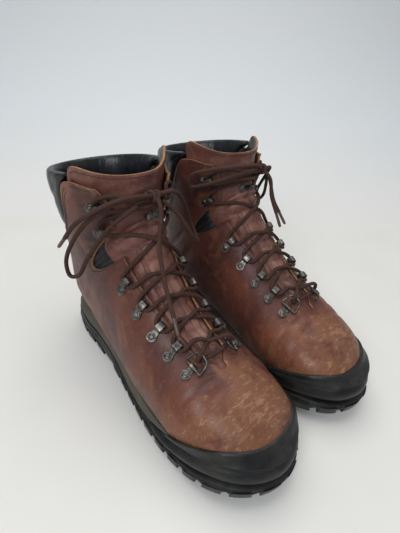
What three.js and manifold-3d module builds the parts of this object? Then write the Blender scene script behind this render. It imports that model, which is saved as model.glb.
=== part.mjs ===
// A pair of laced leather hiking boots, in millimetres, +Z up, toes towards -Y.
// Each boot is built in its own frame: x runs from the lateral to the medial side of the right boot,
// y = -forward, where forward is 0 at the back of the heel, and z = 0 is the ground.
// The left boot is the right boot mirrored, with a bow of its own.
import * as THREE from "three";
import { mergeVertices } from "three/addons/utils/BufferGeometryUtils.js";
import Module from "manifold-3d";

const wasm = await Module();
wasm.setup();

// ---------------------------------------------------------------- driving dimensions
const SOLE_LENGTH = 312; // heel to toe, outsole
const GAP = 0.3; // clearance between pieces that touch
const LEATHER = 2.2; // thickness of the upper's leather
const LINING_FOOT = 2.6; // lining beside the foot
const LINING_SHAFT = 6.2; // padded lining in the shaft
const COLLAR_PROUD = 1.6; // how far the collar's padding stands outside the leather
const COLLAR_DEPTH = 8.8; // how far it reaches inside the leather's face
const TONGUE = 4.6; // thickness of the tongue
const BOARD = 2.0; // lasting board
const FOOTBED = 4.0;
const SHANK = 1.5;
const COUNTER = 1.4; // heel stiffener
const RAND = 2.6; // rubber toe rand
const LUG = 5.5; // depth of the tread
const LACE = 3.8; // lace diameter
const WIRE = 2.0; // wire of the toe rings
const METAL = 1.1; // sheet metal of the lace hardware
const RIVET_R = 4.6;
const TUNNEL = { wide: 9.0, high: 7.8, deep: 6.4 }; // a lace runner, over its metal
const HOOK = { wide: 8.4, high: 7.6, deep: 5.0 };
const RING = { wide: 16, reach: 12, tilt: 24 };
const FINEST = 0.15; // detail below this is left out
const BOOT_SPACING = 126; // between the middles of the two boots
const STRETCH = SOLE_LENGTH / 312; // forward distances below are written for a sole of 312 mm

const rad = (d) => (d * Math.PI) / 180;
const lerp = (a, b, t) => a + (b - a) * t;
const clamp = (x, a, b) => Math.min(Math.max(x, a), b);
const smooth = (a, b, x) => {
  const t = clamp((x - a) / (b - a), 0, 1);
  return t * t * (3 - 2 * t);
};

// ---------------------------------------------------------------- the boot's outer surface
// A row of sections, from the toe (0) to the top line (16). Each section stands in the plane through its
// upper point (forward, z) and its lower point (forward, z): across the foot they are upright, they fan
// round the ankle, and in the shaft they are nearly level.
// [upper f, z, lower f, z, half width, shift, upper exponent, lower exponent, height of the widest part]
const SECTIONS = [
  [302, 44, 301, 30, 15, 8, 2.0, 2.6, 0.45],
  [297, 57, 295, 27, 27, 7, 2.1, 3.0, 0.42],
  [286, 68, 284, 24, 37, 5.5, 2.2, 3.4, 0.4],
  [268, 76, 266, 21.5, 45.5, 4, 2.2, 3.8, 0.38],
  [245, 83, 243, 20, 51, 2, 2.2, 4.0, 0.36],
  [220, 92, 218, 20, 51.5, 0.5, 2.1, 4.0, 0.34],
  [196, 104, 190, 21, 49.5, -1, 2.0, 4.0, 0.33],
  [175, 119, 155, 24, 46, -2, 2.0, 4.0, 0.34],
  [157, 136, 118, 28, 43.5, -2, 2.0, 4.0, 0.36],
  [144, 152, 80, 31, 42.5, -1, 2.0, 3.8, 0.4],
  [136, 165, 39, 33, 42.5, 0, 2.0, 3.2, 0.42],
  [131, 176, 8, 43, 43, 0, 2.0, 2.5, 0.46],
  [128, 186, 4, 70, 43.5, 0, 2.0, 2.2, 0.48],
  [126, 195, 6, 107, 45, 0, 2.05, 2.1, 0.5],
  [124.5, 204, 8, 141, 47.5, 0, 2.1, 2.1, 0.5],
  [123, 213, 5, 171, 50.5, 0, 2.1, 2.1, 0.5],
  [122, 222, 1, 197, 53, 0, 2.1, 2.1, 0.5],
].map(([upper, zu, lower, ...rest]) => [upper * STRETCH, zu, lower * STRETCH, ...rest]);
const TOP = SECTIONS.length - 1;

function section(s) {
  const i = clamp(Math.floor(s), 0, TOP - 1);
  const t = s - i;
  const row = (k) => SECTIONS[clamp(k, 0, TOP)];
  return row(i).map((b, c) => {
    const a = i > 0 ? row(i - 1)[c] : 2 * b - row(i + 1)[c];
    const d = row(i + 1)[c];
    const e = i + 2 <= TOP ? row(i + 2)[c] : 2 * d - b;
    return b + 0.5 * t * (d - a + t * (2 * a - 5 * b + 4 * d - e + t * (3 * (b - d) + e - a)));
  });
}

// The point at section s and angle phi, which is 0 at the front or top and 180 at the sole or the back.
// Positive angles are on the medial side. The point lies `out` millimetres outside the leather's face.
function skin(s, degrees, out = 0) {
  const [fu, zu, fl, zl, half, shift, nu, nl, widest] = section(s);
  const height = Math.hypot(fu - fl, zu - zl);
  const [ef, ez] = [(fu - fl) / height, (zu - zl) / height];
  const [c, w] = [Math.cos(rad(degrees)), Math.sin(rad(degrees))];
  const power = 2 / (c > 0 ? nu : nl);
  const reach = (c > 0 ? (1 - widest) * height : widest * height) + out;
  const t = widest * height + Math.sign(c) * reach * Math.abs(c) ** power;
  const x = shift + Math.sign(w) * (half + out) * Math.abs(w) ** power;
  const push = out * (1 - smooth(0, 3, s));
  return new THREE.Vector3(x, -(fl + ef * t + push), zl + ez * t);
}

// The frame at a place on the surface: x points round the boot away from the throat, z out of the leather.
function seat(s, degrees, out) {
  const side = Math.sign(degrees) || 1;
  const here = skin(s, degrees, out);
  const round = skin(s, degrees + side, out).sub(here).normalize();
  const along = skin(s + 0.05, degrees, out).sub(here).normalize();
  const normal = new THREE.Vector3().crossVectors(round, along).normalize();
  if (side > 0) normal.negate();
  if (normal.dot(skin(s, degrees, out + 5).sub(here)) < 0) normal.negate();
  const across = new THREE.Vector3().crossVectors(normal, round).normalize();
  const turn = new THREE.Matrix4().makeBasis(round, across, normal);
  const uphill = Math.sign(across.dot(along)); // whether y runs towards the ankle or towards the toe
  return { position: here, quaternion: new THREE.Quaternion().setFromRotationMatrix(turn), uphill };
}

// ---------------------------------------------------------------- solids and meshes
function solid(geometry) {
  const bare = new THREE.BufferGeometry();
  const source = geometry.index ? geometry.toNonIndexed() : geometry;
  bare.setAttribute("position", source.getAttribute("position").clone());
  const merged = mergeVertices(bare, 1e-3);
  return new wasm.Manifold(
    new wasm.Mesh({
      numProp: 3,
      vertProperties: merged.attributes.position.array,
      triVerts: new Uint32Array(merged.index.array),
    }),
  );
}

function geometryOf(manifold) {
  const { vertProperties, triVerts, numProp, numVert } = manifold.getMesh();
  const xyz = new Float32Array(numVert * 3);
  for (let i = 0; i < numVert; i++) xyz.set(vertProperties.subarray(i * numProp, i * numProp + 3), i * 3);
  const geometry = new THREE.BufferGeometry();
  geometry.setAttribute("position", new THREE.BufferAttribute(xyz, 3));
  geometry.setIndex(new THREE.BufferAttribute(new Uint32Array(triVerts), 1));
  geometry.computeVertexNormals();
  return geometry;
}

// The largest body of a solid, so that a boolean's slivers are left behind.
function main(manifold) {
  return manifold.simplify(FINEST).decompose().sort((a, b) => b.volume() - a.volume())[0];
}

// A closed solid through rings of equally many points. Round rings are closed by a fan at each end;
// the rings of a slab, which go out along one face and back along the other, are closed face to face.
function loft(rings, flat = false) {
  const n = rings[0].length;
  const points = rings.flat();
  const index = [];
  for (let i = 0; i + 1 < rings.length; i++)
    for (let j = 0; j < n; j++) {
      const [a, b] = [i * n + j, i * n + ((j + 1) % n)];
      index.push(a, b, b + n, a, b + n, a + n);
    }
  [0, rings.length - 1].forEach((end) => {
    const first = end * n;
    const add = (a, b, c) => index.push(...(end ? [a, b, c] : [b, a, c]));
    if (flat)
      for (let j = 0; j + 1 < n / 2; j++) {
        add(first + j, first + j + 1, first + n - 2 - j);
        add(first + j, first + n - 2 - j, first + n - 1 - j);
      }
    else {
      points.push(rings[end].reduce((m, p) => m.add(p), new THREE.Vector3()).divideScalar(n));
      for (let j = 0; j < n; j++) add(first + j, first + ((j + 1) % n), points.length - 1);
    }
  });
  const geometry = new THREE.BufferGeometry().setFromPoints(points);
  geometry.setIndex(index);
  let made = solid(geometry);
  if (made.volume() < 0) {
    geometry.setIndex(index.slice().reverse());
    made = solid(geometry);
  }
  return made;
}

const HALF_ROUND = [24, 46, 70, 88, 108, 130, 155];
const AROUND = [0, ...HALF_ROUND, 180, ...HALF_ROUND.map((a) => 360 - a).reverse()];
const ALONG = [0, 0.7, 1.5, 2.6, 4, 5.5, 7, 8.5, 10, 11.2, 12.5, 14.2, 16];

// The whole boot's body at a distance from the leather's face.
function body(out, from = 0, to = TOP) {
  const stops = [from, ...ALONG.filter((s) => s > from && s < to), to];
  return loft(stops.map((s) => AROUND.map((a) => skin(s, a, out))));
}

// The point of body(0) at section s and an angle from 0 to 360, on its flat facets.
function facet(s, degrees) {
  const span = (stops, x) => {
    const i = clamp(stops.findLastIndex((stop) => stop <= x), 0, stops.length - 2);
    return [stops[i], stops[i + 1], (x - stops[i]) / (stops[i + 1] - stops[i])];
  };
  const [s0, s1, u] = span(ALONG, s);
  const [d0, d1, v] = span([...AROUND, 360], degrees);
  const [a, b] = [skin(s0, d0), skin(s1, d1)];
  const c = v > u ? skin(s0, d1) : skin(s1, d0);
  const [toC, toB] = v > u ? [v, u] : [u, v];
  const out = a.clone().addScaledVector(c.clone().sub(a), toC);
  return out.addScaledVector(b.sub(c), toB);
}

// A seat for a flat piece that reaches from x = from to x = to and `half` each way along y,
// `GAP` off the highest facet beneath it.
function flatSeat(s, degrees, from, to, half) {
  const frame = seat(s, degrees, 0);
  const back = frame.quaternion.clone().invert();
  let highest = -REACH;
  for (let ds = -0.7; ds <= 0.7; ds += 0.1)
    for (let dd = -10; dd <= 24; dd += 1) {
      const angle = degrees + dd * Math.sign(degrees);
      const p = facet(s + ds, (angle + 360) % 360).sub(frame.position).applyQuaternion(back);
      if (p.x > from && p.x < to && Math.abs(p.y) < half) highest = Math.max(highest, p.z);
    }
  frame.position.add(new THREE.Vector3(0, 0, highest + GAP).applyQuaternion(frame.quaternion));
  return frame;
}

// A curved slab on the surface. place(a, b) gives [s, degrees] for a and b from 0 to 1,
// and outer(s, degrees) and inner(s, degrees) its two faces.
function slab(place, outer, inner, na, nb) {
  const rings = [];
  for (let i = 0; i <= na; i++) {
    const top = [];
    const bottom = [];
    for (let j = 0; j <= nb; j++) {
      const [s, d] = place(i / na, j / nb);
      top.push(skin(s, d, outer(s, d)));
      bottom.unshift(skin(s, d, inner(s, d)));
    }
    rings.push([...top, ...bottom]);
  }
  return loft(rings, true);
}

// A slab's ends may cut anything that its neighbour's don't, so cutters reach this far each way.
const REACH = 14;

// ---------------------------------------------------------------- edges, in section and angle
// Half angle of the leather's throat. The notch lets the cuff flex over the ankle.
const THROAT_START = 4.45;
const NOTCH = { at: 10.6, half: 0.8, deep: 30 };
function throat(s) {
  const opening = 4 + 10 * smooth(THROAT_START, THROAT_START + 0.5, s);
  const widening = 22 * smooth(THROAT_START, 10, s) + 12 * smooth(13.2, 16, s);
  const notch = NOTCH.deep * (1 - smooth(0.35, 1, Math.abs(s - NOTCH.at) / NOTCH.half));
  return opening + widening + notch;
}

// The leather's top line: a tab over the hooks that falls away to the collar at the back.
function topLine(degrees) {
  const a = Math.min(Math.abs(degrees), 360 - Math.abs(degrees));
  return 14.75 + 0.7 * smooth(40, 70, a) - 2.0 * smooth(74, 108, a);
}

// The tongue's half angle, and its concave top edge, whose medial tip (b = 1) is the higher one.
const TONGUE_START = 3.9;
function tongueHalf(s) {
  return 26 + 24 * smooth(5, 11, s) + 20 * smooth(11.5, 13.5, s);
}
function tongueTop(b) {
  const side = 2 * b - 1;
  return 14.75 + 1.15 * Math.abs(side) ** 1.9 + 0.25 * side ** 3;
}
function tongueFace(s, degrees) {
  const across = Math.abs(degrees) / Math.max(throat(s), 1);
  const lift = 3.2 * smooth(THROAT_START, THROAT_START + 1, s) - 1.6 * smooth(11, 13, s);
  return -LEATHER - GAP + lift * (1 - smooth(0.2, 0.9, across));
}

// ---------------------------------------------------------------- the sole's outline
// From the back of the heel to the tip of the toe, [x, forward], lateral side then medial side.
const LATERAL = [
  [0, 0], [-31, 13], [-40, 42], [-41, 80], [-43, 120], [-48.5, 160],
  [-53.5, 200], [-53.5, 235], [-47.5, 268], [-33, 294], [-12, 309], [8.5, 312],
];
const MEDIAL = [
  [0, 0], [31, 13], [39, 42], [37, 80], [35, 118], [39, 155],
  [48.5, 190], [54.5, 225], [54, 255], [46, 284], [31, 303], [8.5, 312],
];
const edgeCurve = (row) => new THREE.SplineCurve(row.map(([x, f]) => new THREE.Vector2(x, f * STRETCH)));
const [lateralEdge, medialEdge] = [edgeCurve(LATERAL), edgeCurve(MEDIAL)];

// Heights along the sole, by distance forward.
const ramp = (from, to, f) => smooth(from * STRETCH, to * STRETCH, f);
const toeSpring = (f) => 13 * ramp(225, 325, f);
const treadTop = (f) => 12 + 11 * (1 - ramp(78, 175, f)) + 13 * ramp(215, 300, f);
const midsoleTop = (f) => lerp(lerp(39, 30, ramp(40, 190, f)), treadTop(f) + 1.6, ramp(205, 262, f));
const randTop = (f) => 31 + 20 * ramp(200, 296, f);

// A slab of the sole's outline, moved in by `inset`, between two heights given by distance forward.
function soleSlab(inset, low, high, from = 0.004, to = 0.996, steps = 18) {
  const rings = [];
  for (let i = 0; i <= steps; i++) {
    const t = lerp(from, to, i / steps);
    const [l, m] = [lateralEdge.getPointAt(t), medialEdge.getPointAt(t)];
    const middle = l.clone().add(m).multiplyScalar(0.5);
    const pull = (p) => {
      const centre = new THREE.Vector2(middle.x, clamp(middle.y, 44 * STRETCH, 262 * STRETCH));
      const away = p.clone().sub(centre);
      return centre.add(away.setLength(Math.max(away.length() - inset, 0.5)));
    };
    const [a, b] = [pull(l), pull(m)];
    const centre = a.clone().add(b).multiplyScalar(0.5);
    const at = (p, height) => new THREE.Vector3(p.x, -p.y, height(p.y));
    rings.push([at(a, low), at(centre, low), at(b, low), at(b, high), at(centre, high), at(a, high)]);
  }
  return loft(rings, true);
}

function block(x0, x1, f0, f1, z0, z1, turn = 0) {
  const box = new THREE.BoxGeometry(x1 - x0, f1 - f0, z1 - z0);
  box.rotateZ(turn);
  box.translate((x0 + x1) / 2, -(f0 + f1) / 2, (z0 + z1) / 2);
  return solid(box);
}

// ---------------------------------------------------------------- materials
const finish = (color, roughness, metalness = 0) =>
  new THREE.MeshStandardMaterial({ color, roughness, metalness });
const MATERIALS = {
  leather: finish(0x70443a, 0.6),
  tongue: finish(0x83584b, 0.6),
  collar: finish(0x232428, 0.45),
  lining: finish(0x1c1c1f, 0.9),
  rubber: finish(0x2b2b2a, 0.75),
  midsole: finish(0x4e4a43, 0.8),
  board: finish(0x8a7a5c, 0.9),
  footbed: finish(0x2d2f33, 0.9),
  steel: finish(0x8d8f92, 0.35, 1),
  stiffener: finish(0xc9bfa8, 0.7),
  hardware: finish(0x4c4a48, 0.35, 1),
  lace: finish(0x3d2a24, 0.85),
};

// ---------------------------------------------------------------- sole unit
function outsole() {
  const heelBreast = 84 * STRETCH;
  const archEnd = 122 * STRETCH;
  let made = soleSlab(0, toeSpring, treadTop);
  made = made.subtract(block(-80, 80, heelBreast, archEnd, -1, LUG + 1.5));
  const grooves = [30 * STRETCH, 56 * STRETCH];
  for (const f of grooves) made = made.subtract(block(-80, 80, f, f + 5, -1, LUG));
  for (let f = 140 * STRETCH; f < 290 * STRETCH; f += 21) {
    const lift = toeSpring(f);
    for (const side of [-1, 1]) {
      const cut = block(side > 0 ? 14 : -80, side > 0 ? 80 : -14, f, f + 6, -1, lift + LUG, side * rad(12));
      made = made.subtract(cut);
    }
  }
  return main(made);
}

function midsole() {
  const over = (f) => treadTop(f) + GAP + 0.25;
  return main(soleSlab(3.4, over, midsoleTop, 0.01, 0.985).subtract(body(GAP)).subtract(shank(GAP)));
}

// The toe rand is a lip on the leather over a thicker bumper that reaches the sole's edge.
function toeRand() {
  const startAt = 0.66;
  const low = (f) => midsoleTop(f) + GAP;
  const lip = soleSlab(-6, low, randTop, startAt, 0.996, 10).intersect(body(RAND + GAP));
  const thick = (f) => low(f) + 11 * ramp(225, 280, f) + 0.5;
  const bumper = soleSlab(2, low, thick, startAt + 0.02, 0.99, 10);
  const underneath = soleSlab(-8, () => 0, (f) => low(f) + 0.4);
  return main(lip.add(bumper).subtract(body(GAP)).subtract(underneath));
}

// The part of the boot between two sections and two angles.
function region(from, to, fromDegrees, toDegrees, steps) {
  return slab(
    (a, b) => [lerp(from, to, a), lerp(fromDegrees, toDegrees, b)],
    () => REACH / 2,
    () => -REACH,
    steps,
    3,
  );
}

// A layer that lies `depth` millimetres inside the leather's face.
function layer(depth, thickness, where) {
  return body(-depth, 0.4, TOP).intersect(where).subtract(body(-depth - thickness, 0.2, TOP + 0.5));
}

function shank(room = 0) {
  const place = region(5.6 - room / 20, 9.6 + room / 20, 171 - room, 189 + room, 5);
  return body(GAP + SHANK + room).intersect(place).subtract(body(GAP - room));
}

const LASTING_HOLE = 30; // half angle of the opening that the lasting margin leaves under the foot
const BOARD_HALF = 38; // half angle of the board
const BOARD_TO = 10.3; // section of its heel end

// ---------------------------------------------------------------- upper
function throatCutter(extra, start, wide) {
  const from = start;
  return slab(
    (a, b) => {
      const s = lerp(from, TOP + 0.4, a);
      return [s, lerp(-wide(s) - extra, wide(s) + extra, b)];
    },
    () => REACH,
    () => -REACH - 4,
    16,
    4,
  );
}

function aboveTopLine(raise) {
  return slab(
    (a, b) => {
      const d = lerp(20, 340, b);
      return [lerp(topLine(d) + raise, TOP + 1.5, a), d];
    },
    () => REACH,
    () => -REACH,
    2,
    20,
  );
}

// The leather's shell, grown by `room` millimetres all round for cutting its neighbours.
function shell(room) {
  const half = LASTING_HOLE - room;
  const hole = region(1.6 + room / 20, 9.8 - room / 20, 180 - half, 180 + half, 4);
  return body(room)
    .subtract(body(-LEATHER - room, 0.15, TOP + 0.5))
    .subtract(throatCutter(-room * 3.5, THROAT_START + room / 15, throat))
    .subtract(aboveTopLine(room / 12))
    .subtract(hole);
}

function counterPlace(room) {
  return region(10.8 - room / 8, 12.7 + room / 8, 106 - room * 2, 254 + room * 2, 3);
}
const heelCounter = () => layer(LEATHER + GAP, COUNTER, counterPlace(0));

function lining() {
  const outer = body(-LEATHER - GAP - 0.1, 0.8, TOP);
  const inside = (s) => -LEATHER - GAP - lerp(LINING_FOOT, LINING_SHAFT, smooth(9, 12, s));
  const stops = [1.2, ...ALONG.filter((s) => s > 1.2 && s < TOP), TOP + 0.5];
  const hollow = loft(stops.map((s) => AROUND.map((a) => skin(s, a, inside(s)))));
  const tongueRoom = throatCutter(4, TONGUE_START - 0.25, tongueHalf);
  const sole = region(0.1, BOARD_TO + 0.35, 171 - BOARD_HALF, 189 + BOARD_HALF, 9);
  const counterRoom = counterPlace(GAP).subtract(body(-LEATHER - COUNTER - 2 * GAP));
  return main(
    outer.subtract(hollow).subtract(tongueRoom).subtract(aboveTopLine(-0.05)).subtract(sole)
      .subtract(counterRoom),
  );
}

const COLLAR_HALF = 74; // angle where the collar begins, beside the tongue's wing
function collar() {
  const low = (d) => topLine(d) + 0.03;
  return slab(
    (a, b) => {
      const d = lerp(COLLAR_HALF, 360 - COLLAR_HALF, b);
      return [lerp(low(d), TOP - 0.05, a), d];
    },
    (s, d) => -LEATHER + (LEATHER + COLLAR_PROUD) * Math.sin(Math.PI * clamp((s - low(d)) / (TOP - low(d)), 0.15, 0.8)),
    () => -COLLAR_DEPTH,
    4,
    16,
  ).intersect(aboveTopLine(0.05));
}

function tongue() {
  return slab(
    (a, b) => {
      const s = lerp(TONGUE_START, tongueTop(b), a);
      return [s, lerp(-tongueHalf(s), tongueHalf(s), b)];
    },
    tongueFace,
    (s, d) => tongueFace(s, d) - TONGUE,
    10,
    8,
  );
}

// ---------------------------------------------------------------- lace hardware
// Built lying on z = 0 with x pointing away from the throat, then seated on the leather.
function sheet(shape, depth) {
  return new THREE.ExtrudeGeometry(shape, { depth, bevelEnabled: false, curveSegments: 4 });
}

// A bent strip: the shape stands in the x-z plane and is `depth` wide along y.
function strip(shape, depth) {
  const bent = sheet(shape, depth);
  bent.rotateX(Math.PI / 2);
  bent.translate(0, depth / 2, 0);
  return solid(bent);
}

// A flat strap that ends in a round eye with a rivet through it.
function riveted(strapFrom, strapHalf, rivetAt) {
  const outline = new THREE.Shape();
  outline.absarc(rivetAt, 0, RIVET_R, -2.5, 2.5, false);
  outline.lineTo(strapFrom, strapHalf);
  outline.lineTo(strapFrom, -strapHalf);
  const dome = new THREE.CylinderGeometry(RIVET_R * 0.62, RIVET_R * 0.95, 1.1, 7);
  dome.rotateX(Math.PI / 2);
  dome.translate(rivetAt, 0, METAL + 0.5);
  return solid(sheet(outline, METAL)).add(solid(dome));
}

// A frame of sheet metal that the lace runs through, along y.
function runner() {
  const { wide, high, deep } = TUNNEL;
  const corner = 1.6;
  const frame = new THREE.Shape();
  frame.moveTo(-wide / 2, 0).lineTo(wide / 2, 0).lineTo(wide / 2, high - corner);
  frame.lineTo(wide / 2 - corner, high).lineTo(corner - wide / 2, high).lineTo(-wide / 2, high - corner);
  const [hx, hz, cut] = [wide / 2 - METAL, high - METAL, corner * 0.6];
  const hole = new THREE.Path();
  hole.moveTo(-hx, METAL).lineTo(hx, METAL).lineTo(hx, hz - cut).lineTo(hx - cut, hz);
  hole.lineTo(cut - hx, hz).lineTo(-hx, hz - cut);
  frame.holes.push(hole);
  return strip(frame, deep).add(riveted(wide / 2 - 0.6, 2.4, wide / 2 + 6.4));
}

// An open hook: a stem on the throat's side and a lip that turns away from it.
function hook() {
  const { wide, high, deep } = HOOK;
  const side = new THREE.Shape();
  side.moveTo(-wide / 2, 0).lineTo(wide / 2, 0).lineTo(wide / 2, METAL).lineTo(METAL - wide / 2, METAL);
  side.lineTo(METAL - wide / 2, high - METAL).lineTo(wide / 2 - 1, high - METAL);
  side.lineTo(wide / 2 + 0.6, high).lineTo(wide / 2 - 0.6, high + 0.5).lineTo(1 - wide / 2, high);
  side.lineTo(-wide / 2, high - 1);
  return strip(side, deep).add(riveted(wide / 2 - 0.6, 2.6, wide / 2 + 3.6));
}

// The strap of a toe ring curls round the ring's hinge bar, which lies along y at x = 0.
const HINGE_BORE = WIRE / 2 + 0.1;
const HINGE_HEIGHT = HINGE_BORE + METAL;
function ringStrap() {
  const curl = circle(HINGE_HEIGHT, 16, HINGE_HEIGHT);
  curl.holes.push(circle(HINGE_BORE, 16, HINGE_HEIGHT));
  return strip(curl, 6).add(riveted(HINGE_HEIGHT * 0.6, 2.6, HINGE_HEIGHT + 6));
}

// The ring is a D of round wire, tilted up from the leather about its hinge bar.
function ring() {
  const half = RING.wide / 2;
  const corners = [
    [0, -half], [0.55, 1 - half], [1, -half / 2], [1, half / 2], [0.55, half - 1], [0, half],
  ];
  const tilt = rad(RING.tilt);
  const path = new THREE.CatmullRomCurve3(
    corners.map(([reach, y]) => {
      const far = reach * RING.reach;
      return new THREE.Vector3(-far * Math.cos(tilt), y, HINGE_HEIGHT + far * Math.sin(tilt));
    }),
    false,
    "centripetal",
  );
  const bow = new THREE.ExtrudeGeometry(circle(WIRE / 2, 6), { steps: 8, extrudePath: path });
  const bar = new THREE.CylinderGeometry(WIRE / 2, WIRE / 2, RING.wide + WIRE, 12);
  bar.translate(0, 0, HINGE_HEIGHT);
  return solid(bow).add(solid(bar));
}

function circle(radius, sides, height = 0) {
  const shape = new THREE.Shape();
  for (let i = 0; i < sides; i++) {
    const a = (2 * Math.PI * (i + 0.5)) / sides;
    const [x, y] = [radius * Math.cos(a), height + radius * Math.sin(a)];
    if (i) shape.lineTo(x, y);
    else shape.moveTo(x, y);
  }
  return shape;
}

const RING_ROW = 4.85; // section of the toe rings
const RUNNER_ROWS = [5.65, 6.5, 7.45, 8.55]; // sections of the four pairs of runners
const HOOK_ROWS = [11.95, 13.6];
const KEEPER_ROW = 11.4; // the hook in the middle of the tongue
const KEEPER_OFF = 0.91; // the tongue's hook stands this far off the tongue's true curve
const ringSeat = (side) => flatSeat(RING_ROW, side * (throat(RING_ROW) + 10), -2.5, 13, 5);
const runnerSeat = (row, side) => flatSeat(row, side * (throat(row) + 8), -5, 16, 5);
const hookSeat = (row, side) => flatSeat(row, side * (throat(row) + 11), -5, 13, 5);
const keeperSeat = () => seat(KEEPER_ROW, 1e-3, tongueFace(KEEPER_ROW, 0) + KEEPER_OFF);

// ---------------------------------------------------------------- lace
// A curve whose rings fall on its own points instead of at even distances.
class PointCurve extends THREE.CatmullRomCurve3 {
  getPointAt(u, target) {
    return this.getPoint(u, target);
  }
  getTangentAt(u, target) {
    return this.getTangent(u, target);
  }
}

function cord(points, radius = LACE / 2) {
  const extrudePath = new PointCurve(points, false, "centripetal");
  return solid(new THREE.ExtrudeGeometry(circle(radius, 8), { steps: points.length - 1, extrudePath }));
}

// A point beside a piece of hardware; y is counted towards the ankle.
function inSeat({ position, quaternion, uphill }, x, y, z) {
  return new THREE.Vector3(x, y * uphill, z).applyQuaternion(quaternion).add(position);
}

// The taut lace between two places, [section, degrees], over the tongue; `lift` raises its middle.
function crossing([s0, d0], [s1, d1], lift) {
  const stops = [0, 0.25, 0.5, 0.75, 1].map((t) => ({
    s: lerp(s0, s1, t),
    d: lerp(d0, d1, t),
    raised: t === 0.5 ? lift : lift * 0.4,
  }));
  const height = (p, s) => Math.max(tongueFace(s, p.d), 0.2) + LACE / 2 + 1.4 + p.raised;
  const point = (p, s = p.s) => skin(s, p.d, height(p, s));
  for (let step = 0.5; step > 0.02; step *= 0.7)
    for (const i of [2, 1, 3]) {
      const [a, b] = [point(stops[i - 1]), point(stops[i + 1])];
      const pull = (s) => {
        const p = point(stops[i], s);
        return p.distanceTo(a) + p.distanceTo(b);
      };
      const choices = [-2, -1, 0, 1, 2].map((k) => stops[i].s + k * step);
      stops[i].s = choices.reduce((best, s) => (pull(s) < pull(best) ? s : best));
    }
  return stops.slice(1, 4).map((p) => point(p));
}

// One half of the lace, from its toe ring to its upper hook.
function laceHalf(start, lift) {
  const ringFrame = ringSeat(start);
  const points = [
    [-17.5, -3.0, 2.8], [-12, -1.4, 2.6], [-7.6, -0.4, 3.2], [-5.8, 0.4, 7.4], [-8.2, 1.4, 11.4], [-13.5, 3.0, 12.3],
  ].map(([x, y, z]) => inSeat(ringFrame, x, y, z));
  let side = start;
  let last = [RING_ROW + 0.2, start * (throat(RING_ROW) - 8)];
  for (const row of RUNNER_ROWS) {
    side = -side;
    const frame = runnerSeat(row, side);
    const mid = METAL + (TUNNEL.high - 2 * METAL) / 2;
    const half = TUNNEL.deep / 2;
    points.push(...crossing(last, [row - 0.15, side * (throat(row) - 2)], lift));
    for (const y of [-half - 2.2, half + 2.2]) points.push(inSeat(frame, -0.3, y, mid));
    last = [row + 0.35, side * (throat(row) - 2)];
  }
  for (const row of HOOK_ROWS) {
    side = -side;
    const frame = hookSeat(row, side);
    const [x, mid] = [METAL - HOOK.wide / 2 + LACE / 2 + 0.9, HOOK.high / 2];
    const half = HOOK.deep / 2;
    const before = [row - 0.7, side * (throat(row) - 4)];
    points.push(...crossing(last, before, lift));
    for (const [dx, y] of [[-5.5, -half - 4], [0, -half - 0.6], [0, half + 0.6], [-5.5, half + 4]])
      points.push(inSeat(frame, x + dx, y, mid));
    last = [row + 0.65, side * (throat(row) - 4)];
  }
  return points;
}

// The laced run: from one side of the knot down to the toe rings and back up to the other side.
function laceRun(knot) {
  const toKnot = (side) => {
    const from = [HOOK_ROWS[1] + 0.5, side * (throat(HOOK_ROWS[1]) - 8)];
    const to = [KNOT_ROW, knot + side * 22];
    return [...crossing(from, to, 2), knotSide(knot, side * 6), knotSide(knot, side * LACE_END)];
  };
  const middle = skin(RING_ROW - 0.1, 0, Math.max(tongueFace(RING_ROW, 0), 0) + LACE / 2 + 1.2);
  const first = [...laceHalf(-1, 0), ...toKnot(-1)];
  const second = [...laceHalf(1, LACE + 0.8), ...toKnot(1)];
  return [...first.reverse(), middle, ...second];
}

// The bow: a knot in the middle of the tongue, two loops and two tails that hang over the laced front.
const KNOT_ROW = 12.9;
const KNOT = { wide: 15, high: 11, deep: 10, lift: 9.5 };
const LACE_END = 1.8; // the lace ends this far beside the knot's waist
const knotMiddle = (knot) => skin(KNOT_ROW, knot, KNOT.lift);
// A point beside the knot's underside, `gap` millimetres from its medial side, or from its lateral
// side if negative.
function knotSide(knot, gap) {
  const [low, waist] = [0.8, 0.6]; // how far down, and how wide the knot still is there
  const under = skin(KNOT_ROW, knot, KNOT.lift - (low * KNOT.deep) / 2);
  const towards = skin(KNOT_ROW, knot + 1, KNOT.lift).sub(knotMiddle(knot)).normalize();
  return under.addScaledVector(towards, gap + (Math.sign(gap) * waist * KNOT.wide) / 2);
}

function bow(knot, loops) {
  const centre = knotMiddle(knot);
  const ball = new THREE.SphereGeometry(0.5, 9, 6);
  ball.scale(KNOT.wide, KNOT.high, KNOT.deep);
  ball.applyQuaternion(seat(KNOT_ROW, knot, KNOT.lift).quaternion);
  ball.translate(centre.x, centre.y, centre.z);
  let made = solid(ball);
  for (const stops of loops) made = made.add(cord([centre, ...stops.map((p) => skin(...p))]));
  for (const side of [-1, 1]) {
    const pocket = [14, 6, LACE_END - GAP].map((gap) => knotSide(knot, side * gap));
    made = made.subtract(cord(pocket, LACE / 2 + GAP));
  }
  return main(made);
}

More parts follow.
